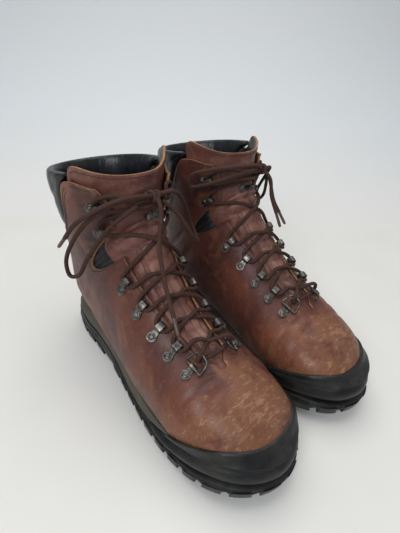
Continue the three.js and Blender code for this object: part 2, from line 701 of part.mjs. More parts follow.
// Each loop goes out from the knot and comes back; each tail ends free. [section, degrees, height]
const RIGHT_BOW = [
  [[12.8, -22, 19], [12.3, -44, 19], [11.3, -62, 20], [10.6, -66, 19], [10.4, -58, 18], [10.9, -44, 19], [11.9, -24, 17], [12.5, -8, 13]],
  [[12.6, 18, 19], [11.6, 30, 22], [10.2, 40, 26], [9.4, 42, 25], [9.2, 34, 23], [10, 26, 22], [11.4, 16, 19], [12.3, 8, 13]],
  [[13.1, -24, 22], [13.1, -44, 23], [13.0, -60, 26], [12.9, -74, 26]],
  [[12, 4, 17], [10.5, 2, 22], [8.8, -4, 21], [7.3, -10, 19], [6.1, -16, 18]],
];
const LEFT_BOW = [
  [[13.1, -44, 19], [12.7, -58, 22], [11.8, -68, 23], [11.1, -64, 23], [11, -55, 22], [11.8, -46, 20], [12.5, -34, 15]],
  [[13.2, 2, 19], [13.7, 20, 20], [14.2, 42, 24], [14.2, 58, 24], [13.4, 60, 23], [12.9, 42, 22], [12.7, 18, 19], [12.6, -6, 14]],
  [[12.1, -36, 19], [11, -42, 25], [9.8, -44, 25], [8.8, -42, 23]],
  [[12, -20, 18], [11, -20, 23], [9.6, -20, 21], [8.4, -20, 19]],
];

// ---------------------------------------------------------------- assembly
function boot(side, knot, loops) {
  const group = new THREE.Group();
  const add = (name, made, material, where) => {
    const mesh = new THREE.Mesh(geometryOf(made), MATERIALS[material]);
    mesh.name = `${side}_${name}`;
    if (where) {
      mesh.position.copy(where.position);
      mesh.quaternion.copy(where.quaternion);
    }
    group.add(mesh);
  };
  add("outsole", outsole(), "rubber");
  add("midsole", midsole(), "midsole");
  add("toe_rand", toeRand(), "rubber");
  add("upper", main(shell(0)), "leather");
  add("lining", lining(), "lining");
  add("collar", main(collar().subtract(shell(GAP))), "collar");
  add("tongue", main(tongue().subtract(shell(GAP))), "tongue");
  add("heel_counter", heelCounter(), "stiffener");
  add("shank", shank(), "steel");
  const foot = (trim) => region(0.9 + trim / 10, BOARD_TO - trim / 20, 180 - BOARD_HALF + trim, 180 + BOARD_HALF - trim, 7);
  add("lasting_board", main(layer(LEATHER + GAP, BOARD, foot(0))), "board");
  add("footbed", main(layer(LEATHER + BOARD + 2 * GAP, FOOTBED, foot(2))), "footbed");
  for (const [label, sign] of [["lateral", -1], ["medial", 1]]) {
    add(`ring_strap_${label}`, ringStrap(), "hardware", ringSeat(sign));
    add(`ring_${label}`, ring(), "hardware", ringSeat(sign));
    RUNNER_ROWS.forEach((row, i) =>
      add(`runner_${label}_${i + 1}`, runner(), "hardware", runnerSeat(row, sign)),
    );
    HOOK_ROWS.forEach((row, i) => add(`hook_${label}_${i + 1}`, hook(), "hardware", hookSeat(row, sign)));
  }
  add("tongue_hook", hook(), "hardware", keeperSeat());
  add("lace", cord(laceRun(knot)), "lace");
  add("bow", bow(knot, loops), "lace");
  return group;
}

const right = boot("right", 4, RIGHT_BOW);
const left = boot("left", -22, LEFT_BOW);
left.scale.x = -1;
right.position.x = -BOOT_SPACING / 2;
left.position.x = BOOT_SPACING / 2;
const pair = new THREE.Group();
pair.add(right, left);
pair.updateMatrixWorld(true);
const extent = new THREE.Box3().setFromObject(pair.getObjectByName("right_outsole"), true);
extent.expandByObject(pair.getObjectByName("right_toe_rand"), true);
extent.expandByObject(pair.getObjectByName("right_collar"), true);
for (const one of [right, left]) one.position.y = -(extent.min.y + extent.max.y) / 2;
export default pair;
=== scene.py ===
"""The look of a pair of worn leather hiking boots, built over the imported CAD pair.

Sizes are in millimetres in each boot's own frame: x runs from the lateral to the medial side, y = -forward
with forward 0 at the back of the heel, z up from the ground. The left boot is the right one mirrored.
"""

import math

import bmesh
import bpy
import numpy as np
from mathutils import Matrix, Vector
from mathutils.bvhtree import BVHTree


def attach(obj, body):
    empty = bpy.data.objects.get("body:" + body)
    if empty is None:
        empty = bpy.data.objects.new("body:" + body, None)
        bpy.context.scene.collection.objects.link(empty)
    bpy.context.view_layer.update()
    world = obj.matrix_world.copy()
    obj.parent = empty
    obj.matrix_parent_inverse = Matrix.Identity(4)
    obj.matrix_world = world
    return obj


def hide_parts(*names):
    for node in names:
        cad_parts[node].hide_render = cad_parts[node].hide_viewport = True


MM = 0.001
SPACING = 126.0  # between the middles of the two boots
MIDDLE = 155.7  # from the back of the heel to the pair's middle
GAP = 0.3  # between one layer and the next
LEATHER = 2.2  # thicknesses
LINING_FOOT = 2.6
LINING_SHAFT = 6.2
TONGUE = 4.6
METAL = 1.1
LACE = 3.8  # diameters
WIRE = 2.0
RIVET = 4.6  # a rivet head's radius
THREAD = 0.34  # the radius of a stitch
LUG = 5.5  # how deep the tread is
CHAMFER = 0.9  # on the lugs' lower edges
TUNNEL = (9.0, 7.8, 6.4)  # a runner's width, height and depth
HOOK = (8.4, 7.6, 5.0)  # the same of a hook
RING_WIDE, RING_REACH, RING_TILT = 16.0, 12.0, 24.0
HINGE_HEIGHT = WIRE / 2 + 0.1 + METAL
TOP = 16  # the last section
TOE_BULGE = 2.4  # how far the outsole swells past its outline at the toe
LEATHER_SEED = {"right": 3, "left": 8}
TONGUE_SEED = {"right": 21, "left": 34}

# Each row: upper forward and z, lower forward and z, half width, sideways shift, upper and lower exponents,
# and how far up the section its widest part lies.
SECTIONS = np.array([
    [302, 44, 301, 30, 15, 8, 2.0, 2.6, 0.45],
    [297, 57, 295, 27, 27, 7, 2.1, 3.0, 0.42],
    [286, 68, 284, 24, 37, 5.5, 2.2, 3.4, 0.4],
    [268, 76, 266, 21.5, 45.5, 4, 2.2, 3.8, 0.38],
    [245, 83, 243, 20, 51, 2, 2.2, 4.0, 0.36],
    [220, 92, 218, 20, 51.5, 0.5, 2.1, 4.0, 0.34],
    [196, 104, 190, 21, 49.5, -1, 2.0, 4.0, 0.33],
    [175, 119, 155, 24, 46, -2, 2.0, 4.0, 0.34],
    [157, 136, 118, 28, 43.5, -2, 2.0, 4.0, 0.36],
    [144, 152, 80, 31, 42.5, -1, 2.0, 3.8, 0.4],
    [136, 165, 39, 33, 42.5, 0, 2.0, 3.2, 0.42],
    [131, 176, 8, 43, 43, 0, 2.0, 2.5, 0.46],
    [128, 186, 4, 70, 43.5, 0, 2.0, 2.2, 0.48],
    [126, 195, 6, 107, 45, 0, 2.05, 2.1, 0.5],
    [124.5, 204, 8, 141, 47.5, 0, 2.1, 2.1, 0.5],
    [123, 213, 5, 171, 50.5, 0, 2.1, 2.1, 0.5],
    [122, 222, 1, 197, 53, 0, 2.1, 2.1, 0.5],
])


def smooth(a, b, x):
    t = np.clip((np.asarray(x, float) - a) / (b - a), 0, 1)
    return t * t * (3 - 2 * t)


def lerp(a, b, t):
    return a + (b - a) * t


def hump(x, width):
    """1 where x is 0, fading out over about `width` to either side."""
    return np.exp(-((x / width) ** 2))


def unit(v):
    return v / np.linalg.norm(v, axis=-1, keepdims=True)


def to_world(side, p):
    """Points of a boot's frame, in metres in the pair's frame."""
    sign = 1 if side == "right" else -1
    p = np.asarray(p, float).reshape(-1, 3)
    return np.stack([sign * (p[:, 0] - SPACING / 2), p[:, 1] + MIDDLE, p[:, 2]], -1) * MM


def section(s):
    i = np.clip(np.floor(s), 0, TOP - 1).astype(int)
    t = (s - i)[..., None]
    b, d = SECTIONS[i], SECTIONS[i + 1]
    a = np.where((i > 0)[..., None], SECTIONS[np.maximum(i - 1, 0)], 2 * b - d)
    e = np.where((i + 2 <= TOP)[..., None], SECTIONS[np.minimum(i + 2, TOP)], 2 * d - b)
    return b + 0.5 * t * (d - a + t * (2 * a - 5 * b + 4 * d - e + t * (3 * (b - d) + e - a)))


def skin(s, degrees, out=0.0):
    """The point at section s and an angle round the boot: 0 at the front, 180 at the sole or the back."""
    s, degrees, out = np.broadcast_arrays(*[np.asarray(v, float) for v in (s, degrees, out)])
    fu, zu, fl, zl, half, shift, nu, nl, widest = np.moveaxis(section(s), -1, 0)
    height = np.hypot(fu - fl, zu - zl)
    ef, ez = (fu - fl) / height, (zu - zl) / height
    c, w = np.cos(np.radians(degrees)), np.sin(np.radians(degrees))
    power = 2 / np.where(c > 0, nu, nl)
    reach = np.where(c > 0, (1 - widest) * height, widest * height) + out
    t = widest * height + np.sign(c) * reach * np.abs(c) ** power
    x = shift + np.sign(w) * (half + out) * np.abs(w) ** power
    push = out * (1 - smooth(0, 3, s))
    return np.stack([x, -(fl + ef * t + push), zl + ez * t], -1)


THROAT_START = 4.45
TONGUE_START = 3.9


def throat(s):
    """Half angle of the leather's opening at the front, wider in the notch at the ankle."""
    notch = 33 * np.clip(1 - ((np.asarray(s, float) - 10.55) / 0.95) ** 2, 0, 1)
    widening = 10 * smooth(THROAT_START, 4.95, s) + 22 * smooth(THROAT_START, 10, s)
    return 4 + widening + 12 * smooth(13.2, 16, s) + notch


def top_line(degrees):
    a = np.minimum(np.abs(degrees), 360 - np.abs(degrees))
    return 14.75 + 0.7 * smooth(40, 70, a) - 2.0 * smooth(74, 108, a)


def tongue_half(s):
    return 26 + 24 * smooth(5, 11, s) + 20 * smooth(11.5, 13.5, s)


def tongue_face(s, degrees):
    across = np.abs(degrees) / np.maximum(throat(s), 1)
    lift = 3.2 * smooth(THROAT_START, 5.45, s) - 1.6 * smooth(11, 13, s)
    return -LEATHER - GAP + lift * (1 - smooth(0.2, 0.9, across))


def ripple(s, d, seed, scale=1.0):
    """A soft, seeded unevenness of about +-1 over the surface."""
    rng = np.random.default_rng(seed)
    total = np.zeros(np.broadcast(s, d).shape)
    for _ in range(9):
        fs, fd = rng.uniform(0.4, 1.9) * scale, int(rng.integers(1, 7))
        along = np.sin(fs * s * 2 + rng.uniform(0, 6.3))
        around = np.sin(np.radians(fd * d) + rng.uniform(0, 6.3))
        total = total + along * around
    return total / 3.2


# ---------------------------------------------------------------- meshes
class Shape:
    """Points and faces gathered in a boot's frame, with a material number for each face."""

    def __init__(self):
        self.points, self.tints = [], []
        self.faces, self.kinds, self.uv = [], [], {}

    def add(self, points, tint=0.0):
        first = len(self.points)
        points = np.asarray(points, float).reshape(-1, 3)
        self.points.extend(points)
        self.tints.extend(np.broadcast_to(np.asarray(tint, float).reshape(-1), len(points)))
        return first

    def face(self, corners, kind=0, uv=None):
        if len(set(corners)) < 3:
            return
        if uv is not None:
            self.uv[len(self.faces)] = uv
        self.faces.append(list(dict.fromkeys(corners)))
        self.kinds.append(kind)

    def grid(self, p, wrap=False, kind=0, flip=False, tint=0.0, welded=None):
        n, m = p.shape[:2]
        index = self.add(p, tint) + np.arange(n * m).reshape(n, m)
        if welded is not None:
            index[welded, -1] = index[welded, 0]
        for i in range(n - 1):
            for j in range(m if wrap else m - 1):
                k = (j + 1) % m
                q = [index[i, j], index[i, k], index[i + 1, k], index[i + 1, j]]
                self.face(q[::-1] if flip else q, kind)
        return index

    def rim(self, outer, inner, away, kind):
        """Joins two equal border lines by a rounded edge that swells by `away` in the middle."""
        a = np.array([self.points[i] for i in outer])
        b = np.array([self.points[i] for i in inner])
        rows = [list(outer)]
        for t in (1 / 3, 2 / 3):
            first = self.add(lerp(a, b, t) + away * math.sin(math.pi * t))
            rows.append(list(range(first, first + len(outer))))
        rows.append(list(inner))
        for r0, r1 in zip(rows, rows[1:]):
            for j in range(len(outer) - 1):
                self.face([r0[j], r0[j + 1], r1[j + 1], r1[j]], kind)

    def shell(self, outer, inner, rim=0, welded=None, swell=0.5, tint=0.0, back=0):
        """A closed sheet with a thickness. rim and back number the materials of its edge and inner face."""
        a = self.grid(outer, False, 0, False, tint, welded)
        b = self.grid(inner, False, back, True, tint, welded)

        def outward(edge, inside):
            d = edge - inside
            return swell * d / np.maximum(np.linalg.norm(d, axis=-1, keepdims=True), 1e-6)

        open_rows = np.ones(len(outer), bool) if welded is None else ~welded
        rows = np.flatnonzero(open_rows)
        if welded is not None and rows[0] > 0:
            rows = np.r_[rows[0] - 1, rows]
        self.rim(a[0], b[0], outward(outer[0], outer[1]), rim)
        self.rim(a[-1], b[-1], outward(outer[-1], outer[-2]), rim)
        for edge, inside in ((0, 1), (-1, -2)):
            away = outward(outer[rows, edge], outer[rows, inside])
            self.rim(a[rows, edge], b[rows, edge], away, rim)

    def tube(self, path, radius, sides=12, cap=True):
        """A round cord along a path. Its texture runs along u in millimetres and once round v."""
        path = np.asarray(path, float)
        radius = np.broadcast_to(np.asarray(radius, float), len(path))
        tangent = np.gradient(path, axis=0)
        tangent /= np.linalg.norm(tangent, axis=1, keepdims=True)
        side = np.cross(tangent[0], [0.3, 0.5, 0.8])
        rings, run = [], [0.0]
        for k, (p, t) in enumerate(zip(path, tangent)):
            side = side - t * side.dot(t)
            side = side / np.linalg.norm(side)
            other = np.cross(t, side)
            angles = np.linspace(0, 2 * math.pi, sides, endpoint=False)
            rings.append(p + radius[k] * (np.cos(angles)[:, None] * side + np.sin(angles)[:, None] * other))
            if k:
                run.append(run[-1] + np.linalg.norm(p - path[k - 1]))
        first = self.add(np.array(rings)) + np.arange(len(path) * sides).reshape(len(path), sides)
        for i in range(len(path) - 1):
            for j in range(sides):
                k = (j + 1) % sides
                v0, v1 = j / sides, (j + 1) / sides
                uv = [(run[i], v0), (run[i], v1), (run[i + 1], v1), (run[i + 1], v0)]
                self.face([first[i, j], first[i, k], first[i + 1, k], first[i + 1, j]], uv=uv)
        if cap:
            for end, sign in ((0, -1), (-1, 1)):
                ring = first[end]
                tip = self.add([path[end] + sign * tangent[end] * radius[end] * 0.55])
                for j in range(sides):
                    self.face([ring[j], ring[(j + 1) % sides], tip], uv=[(0, 0), (0, 0.1), (0, 0.05)])

    def lathe(self, profile, place):
        """Turns a profile of (radius, height) about the z axis of `place`."""
        a = np.linspace(0, 2 * math.pi, 28, endpoint=False)
        rings = [np.stack([r * np.cos(a), r * np.sin(a), np.full(len(a), h)], -1) for r, h in profile]
        self.grid(place(np.array(rings)), wrap=True)

    def strap(self, line, width, thick, place, closed=False, wide_end=None):
        """A bent metal strip along a line of (x, z), `width` across y, with softened edges."""
        line = np.asarray(line, float)
        count = len(line)
        ahead = np.roll(line, -1, 0) - line if closed else np.gradient(line, axis=0)
        behind = line - np.roll(line, 1, 0) if closed else ahead
        tangent = unit(unit(ahead) + unit(behind))
        normal = np.stack([-tangent[:, 1], tangent[:, 0]], -1)
        e = 0.28  # the chamfer of its edges
        rings = []
        for k in range(count):
            half = (width if wide_end is None else lerp(width, wide_end, k / (count - 1))) / 2
            t = thick / 2
            lower = [(-half, -t + e), (-half + e, -t), (half - e, -t), (half, -t + e)]
            corners = lower + [(y, -n) for y, n in reversed(lower)]
            (x, z), (nx, nz) = line[k], normal[k]
            rings.append([[x + n * nx, y, z + n * nz] for y, n in corners])
        rings = place(np.array(rings))
        index = self.grid(rings, wrap=True)
        if closed:
            for j in range(8):
                k = (j + 1) % 8
                self.face([index[-1, j], index[-1, k], index[0, k], index[0, j]])
        else:
            self.ends(index)

    def ends(self, index):
        """Closes the first and last rings of a wrapped grid."""
        self.face(list(index[0][::-1]))
        self.face(list(index[-1]))

    def make(self, name, side, paints, sharp=None, replaces=(), body=None):
        """The mesh object of one boot's piece, riding on a body and standing for CAD nodes."""
        sign = 1 if side == "right" else -1
        world = to_world(side, self.points)
        faces = self.faces if sign > 0 else [f[::-1] for f in self.faces]
        mesh = bpy.data.meshes.new(f"{side}_{name}")
        mesh.from_pydata(world.tolist(), [], [[int(i) for i in f] for f in faces])
        mesh.polygons.foreach_set("material_index", self.kinds)
        mesh.polygons.foreach_set("use_smooth", [True] * len(faces))
        if self.uv:
            layer = mesh.uv_layers.new(name="UVMap")
            for polygon in mesh.polygons:
                uv = self.uv.get(polygon.index)
                if uv and len(uv) == polygon.loop_total:
                    for loop, value in zip(polygon.loop_indices, uv if sign > 0 else uv[::-1]):
                        layer.data[loop].uv = value
        attribute = mesh.attributes.new("wear", "FLOAT", "POINT")
        attribute.data.foreach_set("value", np.array(self.tints, np.float32))
        b = bmesh.new()
        b.from_mesh(mesh)
        bmesh.ops.recalc_face_normals(b, faces=b.faces)
        b.to_mesh(mesh)
        b.free()
        if sharp:
            mesh.set_sharp_from_angle(angle=math.radians(sharp))
        for paint in paints.split():
            mesh.materials.append(PAINT[paint])
        made = bpy.data.objects.new(f"{side}_{name}_look", mesh)
        bpy.context.scene.collection.objects.link(made)
        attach(made, body or f"{side}_boot")
        if replaces:
            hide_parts(*[f"{side}_{n}" for n in replaces])
        return made


# ---------------------------------------------------------------- materials
class Paint:
    """A Principled material with short ways to add procedural nodes."""

    def __init__(self, name, color, roughness=0.6, metallic=0.0):
        self.material = bpy.data.materials.new(name)
        self.material.use_nodes = True
        self.tree = self.material.node_tree
        self.shader = self.tree.nodes["Principled BSDF"]
        self.shader.inputs["Base Color"].default_value = (*color, 1)
        self.shader.inputs["Roughness"].default_value = roughness
        self.shader.inputs["Metallic"].default_value = metallic
        self.where = self.node("ShaderNodeTexCoord").outputs["Object"]

    def node(self, kind, inputs=None, **settings):
        made = self.tree.nodes.new(kind)
        for key, value in settings.items():
            setattr(made, key, value)
        for key, value in (inputs or {}).items():
            socket = made.inputs[key]
            if isinstance(value, bpy.types.NodeSocket):
                self.tree.links.new(value, socket)
            else:
                socket.default_value = value
        return made

    def noise(self, scale, detail=4.0, roughness=0.6, stretch=None, distortion=0.0):
        where = self.where
        if stretch:
            where = self.node("ShaderNodeMapping", {"Vector": where, "Scale": stretch}).outputs[0]
        inputs = {"Vector": where, "Scale": scale, "Detail": detail, "Roughness": roughness}
        inputs["Distortion"] = distortion
        return self.node("ShaderNodeTexNoise", inputs).outputs["Fac"]

    def cells(self, scale):
        inputs = {"Vector": self.where, "Scale": scale}
        return self.node("ShaderNodeTexVoronoi", inputs, feature="SMOOTH_F1").outputs["Distance"]

    def ramp(self, value, *stops):
        made = self.node("ShaderNodeValToRGB", {"Fac": value})
        elements = made.color_ramp.elements
        while len(elements) < len(stops):
            elements.new(0.5)
        for element, (at, color) in zip(elements, stops):
            element.position = at
            element.color = (*color, 1) if hasattr(color, "__len__") else (color, color, color, 1)
        return made.outputs["Color"]

    def math(self, operation, a, b=0.0, clamp=False):
        return self.node("ShaderNodeMath", {0: a, 1: b}, operation=operation, use_clamp=clamp).outputs[0]

    def mix(self, amount, a, b, mode="MIX"):
        def color(v):
            return v if isinstance(v, bpy.types.NodeSocket) else (*v, 1)

        inputs = {0: amount, 6: color(a), 7: color(b)}
        return self.node("ShaderNodeMix", inputs, data_type="RGBA", blend_type=mode).outputs[2]

    def wear(self):
        return self.node("ShaderNodeAttribute", attribute_name="wear").outputs["Fac"]

    def color(self, socket):
        self.tree.links.new(socket, self.shader.inputs["Base Color"])

    def rough(self, socket):
        self.tree.links.new(socket, self.shader.inputs["Roughness"])

    def shine(self, level):
        self.shader.inputs["Specular IOR Level"].default_value = level

    def bump(self, height, distance, strength=1.0, under=None):
        inputs = {"Height": height, "Distance": distance, "Strength": strength}
        if under is not None:
            inputs["Normal"] = under
        made = self.node("ShaderNodeBump", inputs).outputs[0]
        self.tree.links.new(made, self.shader.inputs["Normal"])
        return made


def srgb(r, g, b):
    return tuple(v / 3294.6 if v < 10.3 else ((v / 255 + 0.055) / 1.055) ** 2.4 for v in (r, g, b))


def leather_paint(name, base, dark, red, worn, light):
    p = Paint(name, srgb(*base), 0.5)
    broad = p.noise(14, 3, 0.55, distortion=0.6)
    tone = p.ramp(broad, (0.3, srgb(*dark)), (0.5, srgb(*base)), (0.68, srgb(*red)))
    mottle = p.ramp(p.noise(95, 5, 0.7), (0.35, (0.55, 0.5, 0.48)), (0.6, (1.0, 1.0, 1.0)))
    tone = p.mix(0.45, tone, mottle, "MULTIPLY")
    # Where the wear attribute is high the leather fades in patches, and is scuffed and scratched.
    wear = p.wear()
    patch = p.noise(38, 6, 0.62, distortion=0.8)
    faded = p.ramp(p.math("ADD", patch, p.math("MULTIPLY", wear, 0.17)), (0.56, 0.0), (0.76, 1.0))
    tone = p.mix(p.math("MULTIPLY", faded, 0.8), tone, srgb(*worn))
    streak = p.noise(185, 8, 0.75, stretch=(0.5, 1.5, 1.0), distortion=0.5)
    scuff = p.ramp(p.math("ADD", streak, p.math("MULTIPLY", wear, 0.09)), (0.64, 0.0), (0.73, 1.0))
    scratch = p.ramp(p.noise(85, 3, 0.55, stretch=(0.5, 6.0, 3.6), distortion=1.5), (0.64, 0.0), (0.69, 0.45))
    scuff = p.math("MULTIPLY", scuff, p.ramp(patch, (0.36, 0.12), (0.6, 1.0)))
    marks = p.math("ADD", scuff, scratch, clamp=True)
    tone = p.mix(p.math("MULTIPLY", marks, 0.52), tone, srgb(*light))
    p.color(tone)
    p.rough(p.ramp(p.noise(30, 4, 0.6), (0.3, 0.38), (0.7, 0.58)))
    grain = p.bump(p.cells(900), 0.00018, 0.55)
    crease = p.noise(85, 5, 0.62, stretch=(1.0, 1.7, 1.3), distortion=1.1)
    p.bump(crease, 0.0011, 0.5, grain)
    p.shine(0.3)
    p.shader.inputs["Coat Weight"].default_value = 0.1
    p.shader.inputs["Coat Roughness"].default_value = 0.22
    return p.material


def edge_paint():
    p = Paint("raw_edge", srgb(150, 108, 74), 0.9)
    tones = (0.3, srgb(112, 72, 46)), (0.55, srgb(158, 115, 78)), (0.75, srgb(184, 142, 104))
    p.color(p.ramp(p.noise(420, 4, 0.7), *tones))
    p.bump(p.noise(1400, 3, 0.8), 0.0003, 0.8)
    return p.material


def black_leather_paint(name, base, light, shine):
    p = Paint(name, srgb(*base), shine)
    p.color(p.ramp(p.noise(60, 4, 0.6), (0.35, srgb(*base)), (0.75, srgb(*light))))
    fold = p.bump(p.noise(120, 3, 0.5, stretch=(1.6, 1.6, 0.35), distortion=0.7), 0.0014, 0.55)
    p.bump(p.cells(1100), 0.00012, 0.5, fold)
    p.shine(0.38)
    return p.material


def rubber_paint(name, base, dust, shine=0.62):
    p = Paint(name, srgb(*base), shine)
    film = p.math("MULTIPLY", p.ramp(p.noise(32, 6, 0.7, distortion=0.5), (0.44, 0.0), (0.76, 1.0)), 0.45)
    tone = p.mix(film, srgb(*base), srgb(*dust))
    scrape = p.ramp(p.noise(90, 3, 0.6, stretch=(0.7, 0.7, 5.0)), (0.62, 0.0), (0.7, 0.35))
    p.color(p.mix(scrape, tone, srgb(*dust)))
    p.rough(p.ramp(p.noise(45, 4, 0.6), (0.3, shine - 0.12), (0.7, shine + 0.16)))
    p.bump(p.noise(420, 5, 0.7), 0.00035, 0.5)
    p.shine(0.32)
    return p.material


def metal_paint():
    p = Paint("gunmetal", srgb(78, 75, 72), 0.34, 0.92)
    tones = (0.3, srgb(54, 52, 50)), (0.55, srgb(96, 92, 88)), (0.78, srgb(158, 150, 138))
    p.color(p.ramp(p.noise(260, 4, 0.7), *tones))
    p.rough(p.ramp(p.noise(180, 4, 0.6), (0.3, 0.24), (0.7, 0.5)))
    p.bump(p.noise(700, 3, 0.7), 0.00005, 0.3)
    return p.material


def lace_paint():
    p = Paint("lace_braid", srgb(72, 50, 44), 0.8)
    uv = p.node("ShaderNodeUVMap").outputs[0]
    split = p.node("ShaderNodeSeparateXYZ", {0: uv})
    along, round_ = split.outputs[0], split.outputs[1]
    strands = []
    for sign in (1, -1):
        turn = p.math("ADD", p.math("MULTIPLY", round_, 6.0), p.math("MULTIPLY", along, sign / 1.9))
        strands.append(p.math("ABSOLUTE", p.math("SINE", p.math("MULTIPLY", turn, math.pi))))
    weave = p.math("MAXIMUM", *strands)
    # The braid's colour follows the weave's height: painted shade darkens the grooves between strands, and a
    # painted highlight lightens their crests.
    tone = p.ramp(weave, (0.35, srgb(26, 17, 16)), (0.8, srgb(60, 41, 36)), (1.0, srgb(84, 60, 52)))
    fuzz = p.ramp(p.noise(300, 4, 0.7), (0.35, (0.7, 0.7, 0.7)), (0.65, (1.15, 1.12, 1.1)))
    p.color(p.mix(0.7, tone, fuzz, "MULTIPLY"))
    p.bump(weave, 0.00045, 0.9)
    p.shine(0.2)
    return p.material


def plain_paint(name, color, roughness, grain, distance):
    p = Paint(name, srgb(*color), roughness)
    darker = tuple(v * 0.78 for v in color)
    p.color(p.ramp(p.noise(grain * 0.4, 4, 0.6), (0.35, srgb(*darker)), (0.65, srgb(*color))))
    p.bump(p.noise(grain, 4, 0.7), distance, 0.6)
    return p.material


PAINT = {
    "leather": leather_paint(
        "leather", (91, 50, 42), (55, 33, 31), (111, 62, 42), (122, 79, 54), (176, 138, 108)
    ),
    "tongue": leather_paint(
        "tongue_leather", (104, 63, 54), (66, 38, 36), (120, 76, 63), (138, 98, 84), (166, 128, 106)
    ),
    "edge": edge_paint(),
    "collar": black_leather_paint("collar", (11, 11, 14), (32, 32, 38), 0.34),
    "gusset": black_leather_paint("gusset", (16, 15, 18), (38, 36, 39), 0.6),
    "lining": plain_paint("lining", (34, 33, 36), 0.95, 900, 0.0003),
    "footbed": plain_paint("footbed", (52, 53, 58), 0.95, 700, 0.0004),
    "rubber": rubber_paint("rubber", (19, 19, 20), (74, 70, 64), 0.42),
    "midsole": rubber_paint("midsole", (76, 71, 61), (104, 97, 84), 0.7),
    "metal": metal_paint(),
    "lace": lace_paint(),
    "aglet": plain_paint("aglet", (86, 62, 50), 0.35, 200, 0.00005),
    "thread": plain_paint("thread", (74, 50, 42), 0.8, 900, 0.0001),
    "board": plain_paint("fibre_board", (138, 122, 92), 0.9, 500, 0.0002),
    "stiffener": plain_paint("stiffener", (201, 191, 168), 0.7, 400, 0.0001),
    "steel": Paint("spring_steel", srgb(150, 152, 155), 0.32, 1.0).material,
}


# ---------------------------------------------------------------- places on the surface
def seat(s, degrees, out):
    """Origin and axes on the leather: x points round the boot away from the throat, z out of it."""
    side = 1 if degrees >= 0 else -1
    here = skin(s, degrees, out)
    away = skin(s, degrees + side, out) - here
    along = skin(s + 0.05, degrees, out) - here
    away = unit(away)
    normal = unit(np.cross(away, along))
    if normal.dot(skin(s, degrees, out + 5) - here) < 0:
        normal = -normal
    across = np.cross(normal, away)
    uphill = 1 if across.dot(along) > 0 else -1
    return here, np.stack([away, across, normal]), uphill


def in_seat(frame, points, from_ankle=False):
    """Points of a seat's own frame in the boot's. With from_ankle, y is counted towards the ankle."""
    here, axes, uphill = frame
    points = np.asarray(points, float)
    if from_ankle:
        points = points * [1, uphill, 1]
    return here + points @ axes


RING_ROW = 4.85
RUNNER_ROWS = [5.65, 6.5, 7.45, 8.55]
HOOK_ROWS = [11.95, 13.6]
KEEPER_ROW = 11.4
KNOT_ROW, KNOT_LIFT, KNOT_WIDE = 12.9, 9.5, 15.0
STAND_OFF = 0.5
BESIDE_THROAT = {"ring": 10, "runner": 8, "hook": 11}  # degrees


def lacing_seat(kind, row, side):
    return seat(row, side * (throat(row) + BESIDE_THROAT[kind]), STAND_OFF)


def keeper_seat():
    return seat(KEEPER_ROW, 1e-3, float(tongue_face(KEEPER_ROW, 0)) + STAND_OFF)


def spline(points, per_span=10, closed=False):
    """A centripetal Catmull-Rom curve through points."""
    p = np.asarray(points, float)
    if closed:
        p = np.vstack([p[-1], p, p[:2]])
    else:
        p = np.vstack([2 * p[0] - p[1], p, 2 * p[-1] - p[-2]])
    out = []
    for a, b, c, d in zip(p, p[1:], p[2:], p[3:]):
        spans = [max(np.linalg.norm(v), 1e-6) ** 0.5 for v in (b - a, c - b, d - c)]
        t0, t1, t2, t3 = np.cumsum([0.0, *spans])
        t = np.linspace(t1, t2, per_span, endpoint=False)[:, None]

        def blend(v0, v1, from_t, to_t):
            return (to_t - t) / (to_t - from_t) * v0 + (t - from_t) / (to_t - from_t) * v1

        a1, a2, a3 = blend(a, b, t0, t1), blend(b, c, t1, t2), blend(c, d, t2, t3)
        out.append(blend(blend(a1, a2, t0, t2), blend(a2, a3, t1, t3), t1, t2))
    if not closed:
        out.append(p[-2][None])
    return np.vstack(out)


def resample(path, step):
    """Points at even distances along a path."""
    run = np.r_[0, np.cumsum(np.linalg.norm(np.diff(path, axis=0), axis=1))]
    at = np.linspace(0, run[-1], max(int(run[-1] / step), 2) + 1)
    return np.stack([np.interp(at, run, path[:, k]) for k in range(path.shape[1])], -1)


# ---------------------------------------------------------------- leather upper
def leather_relief(s, d, seed):
    """How far the outer face stands off its true curve: folds, softness and lifted edges."""
    a = np.minimum(d, 360 - d)
    to_edge = (a - throat(s)) * 0.85
    soft = 0.45 * ripple(s, d, seed) * smooth(0.6, 2.2, s)
    vamp = 0.8 * hump(s - 3.72 - 0.12 * np.cos(np.radians(d * 2)), 0.13)
    vamp += 0.7 * hump(s - 4.28 + 0.1 * np.cos(np.radians(d * 3)), 0.11)
    vamp *= (1 - smooth(50, 82, a)) * smooth(8, 20, a)
    ankle = 1.1 * hump(s - 9.6 - 0.35 * np.sin(np.radians(d * 1.5)), 0.22)
    ankle += 0.9 * hump(s - 10.9 - 0.25 * np.sin(np.radians(d * 2)), 0.2)
    ankle *= smooth(70, 95, a) * (1 - smooth(130, 165, a))
    flap = smooth(11.6, 12.6, s) * (1 - smooth(14.6, 15.6, s))
    curl = 3.2 * flap * hump(to_edge, 5.0)
    lip = 0.5 * hump(to_edge, 2.2) * smooth(4.6, 5.2, s)
    top = 1.1 * hump(top_line(d) - s, 0.16) * (1 - smooth(70, 90, a))
    return soft - vamp - ankle + curl + lip + top


def opening(s, half=throat, start=THROAT_START):
    """Half angle of an opening that begins in a rounded end at `start`."""
    rounded = 0.2
    end = half(np.array(start)) * np.sqrt(np.clip(1 - ((start - s) / rounded) ** 2, 0, 1))
    return np.where(s >= start, half(s), np.where(s > start - rounded, end, 0.0))


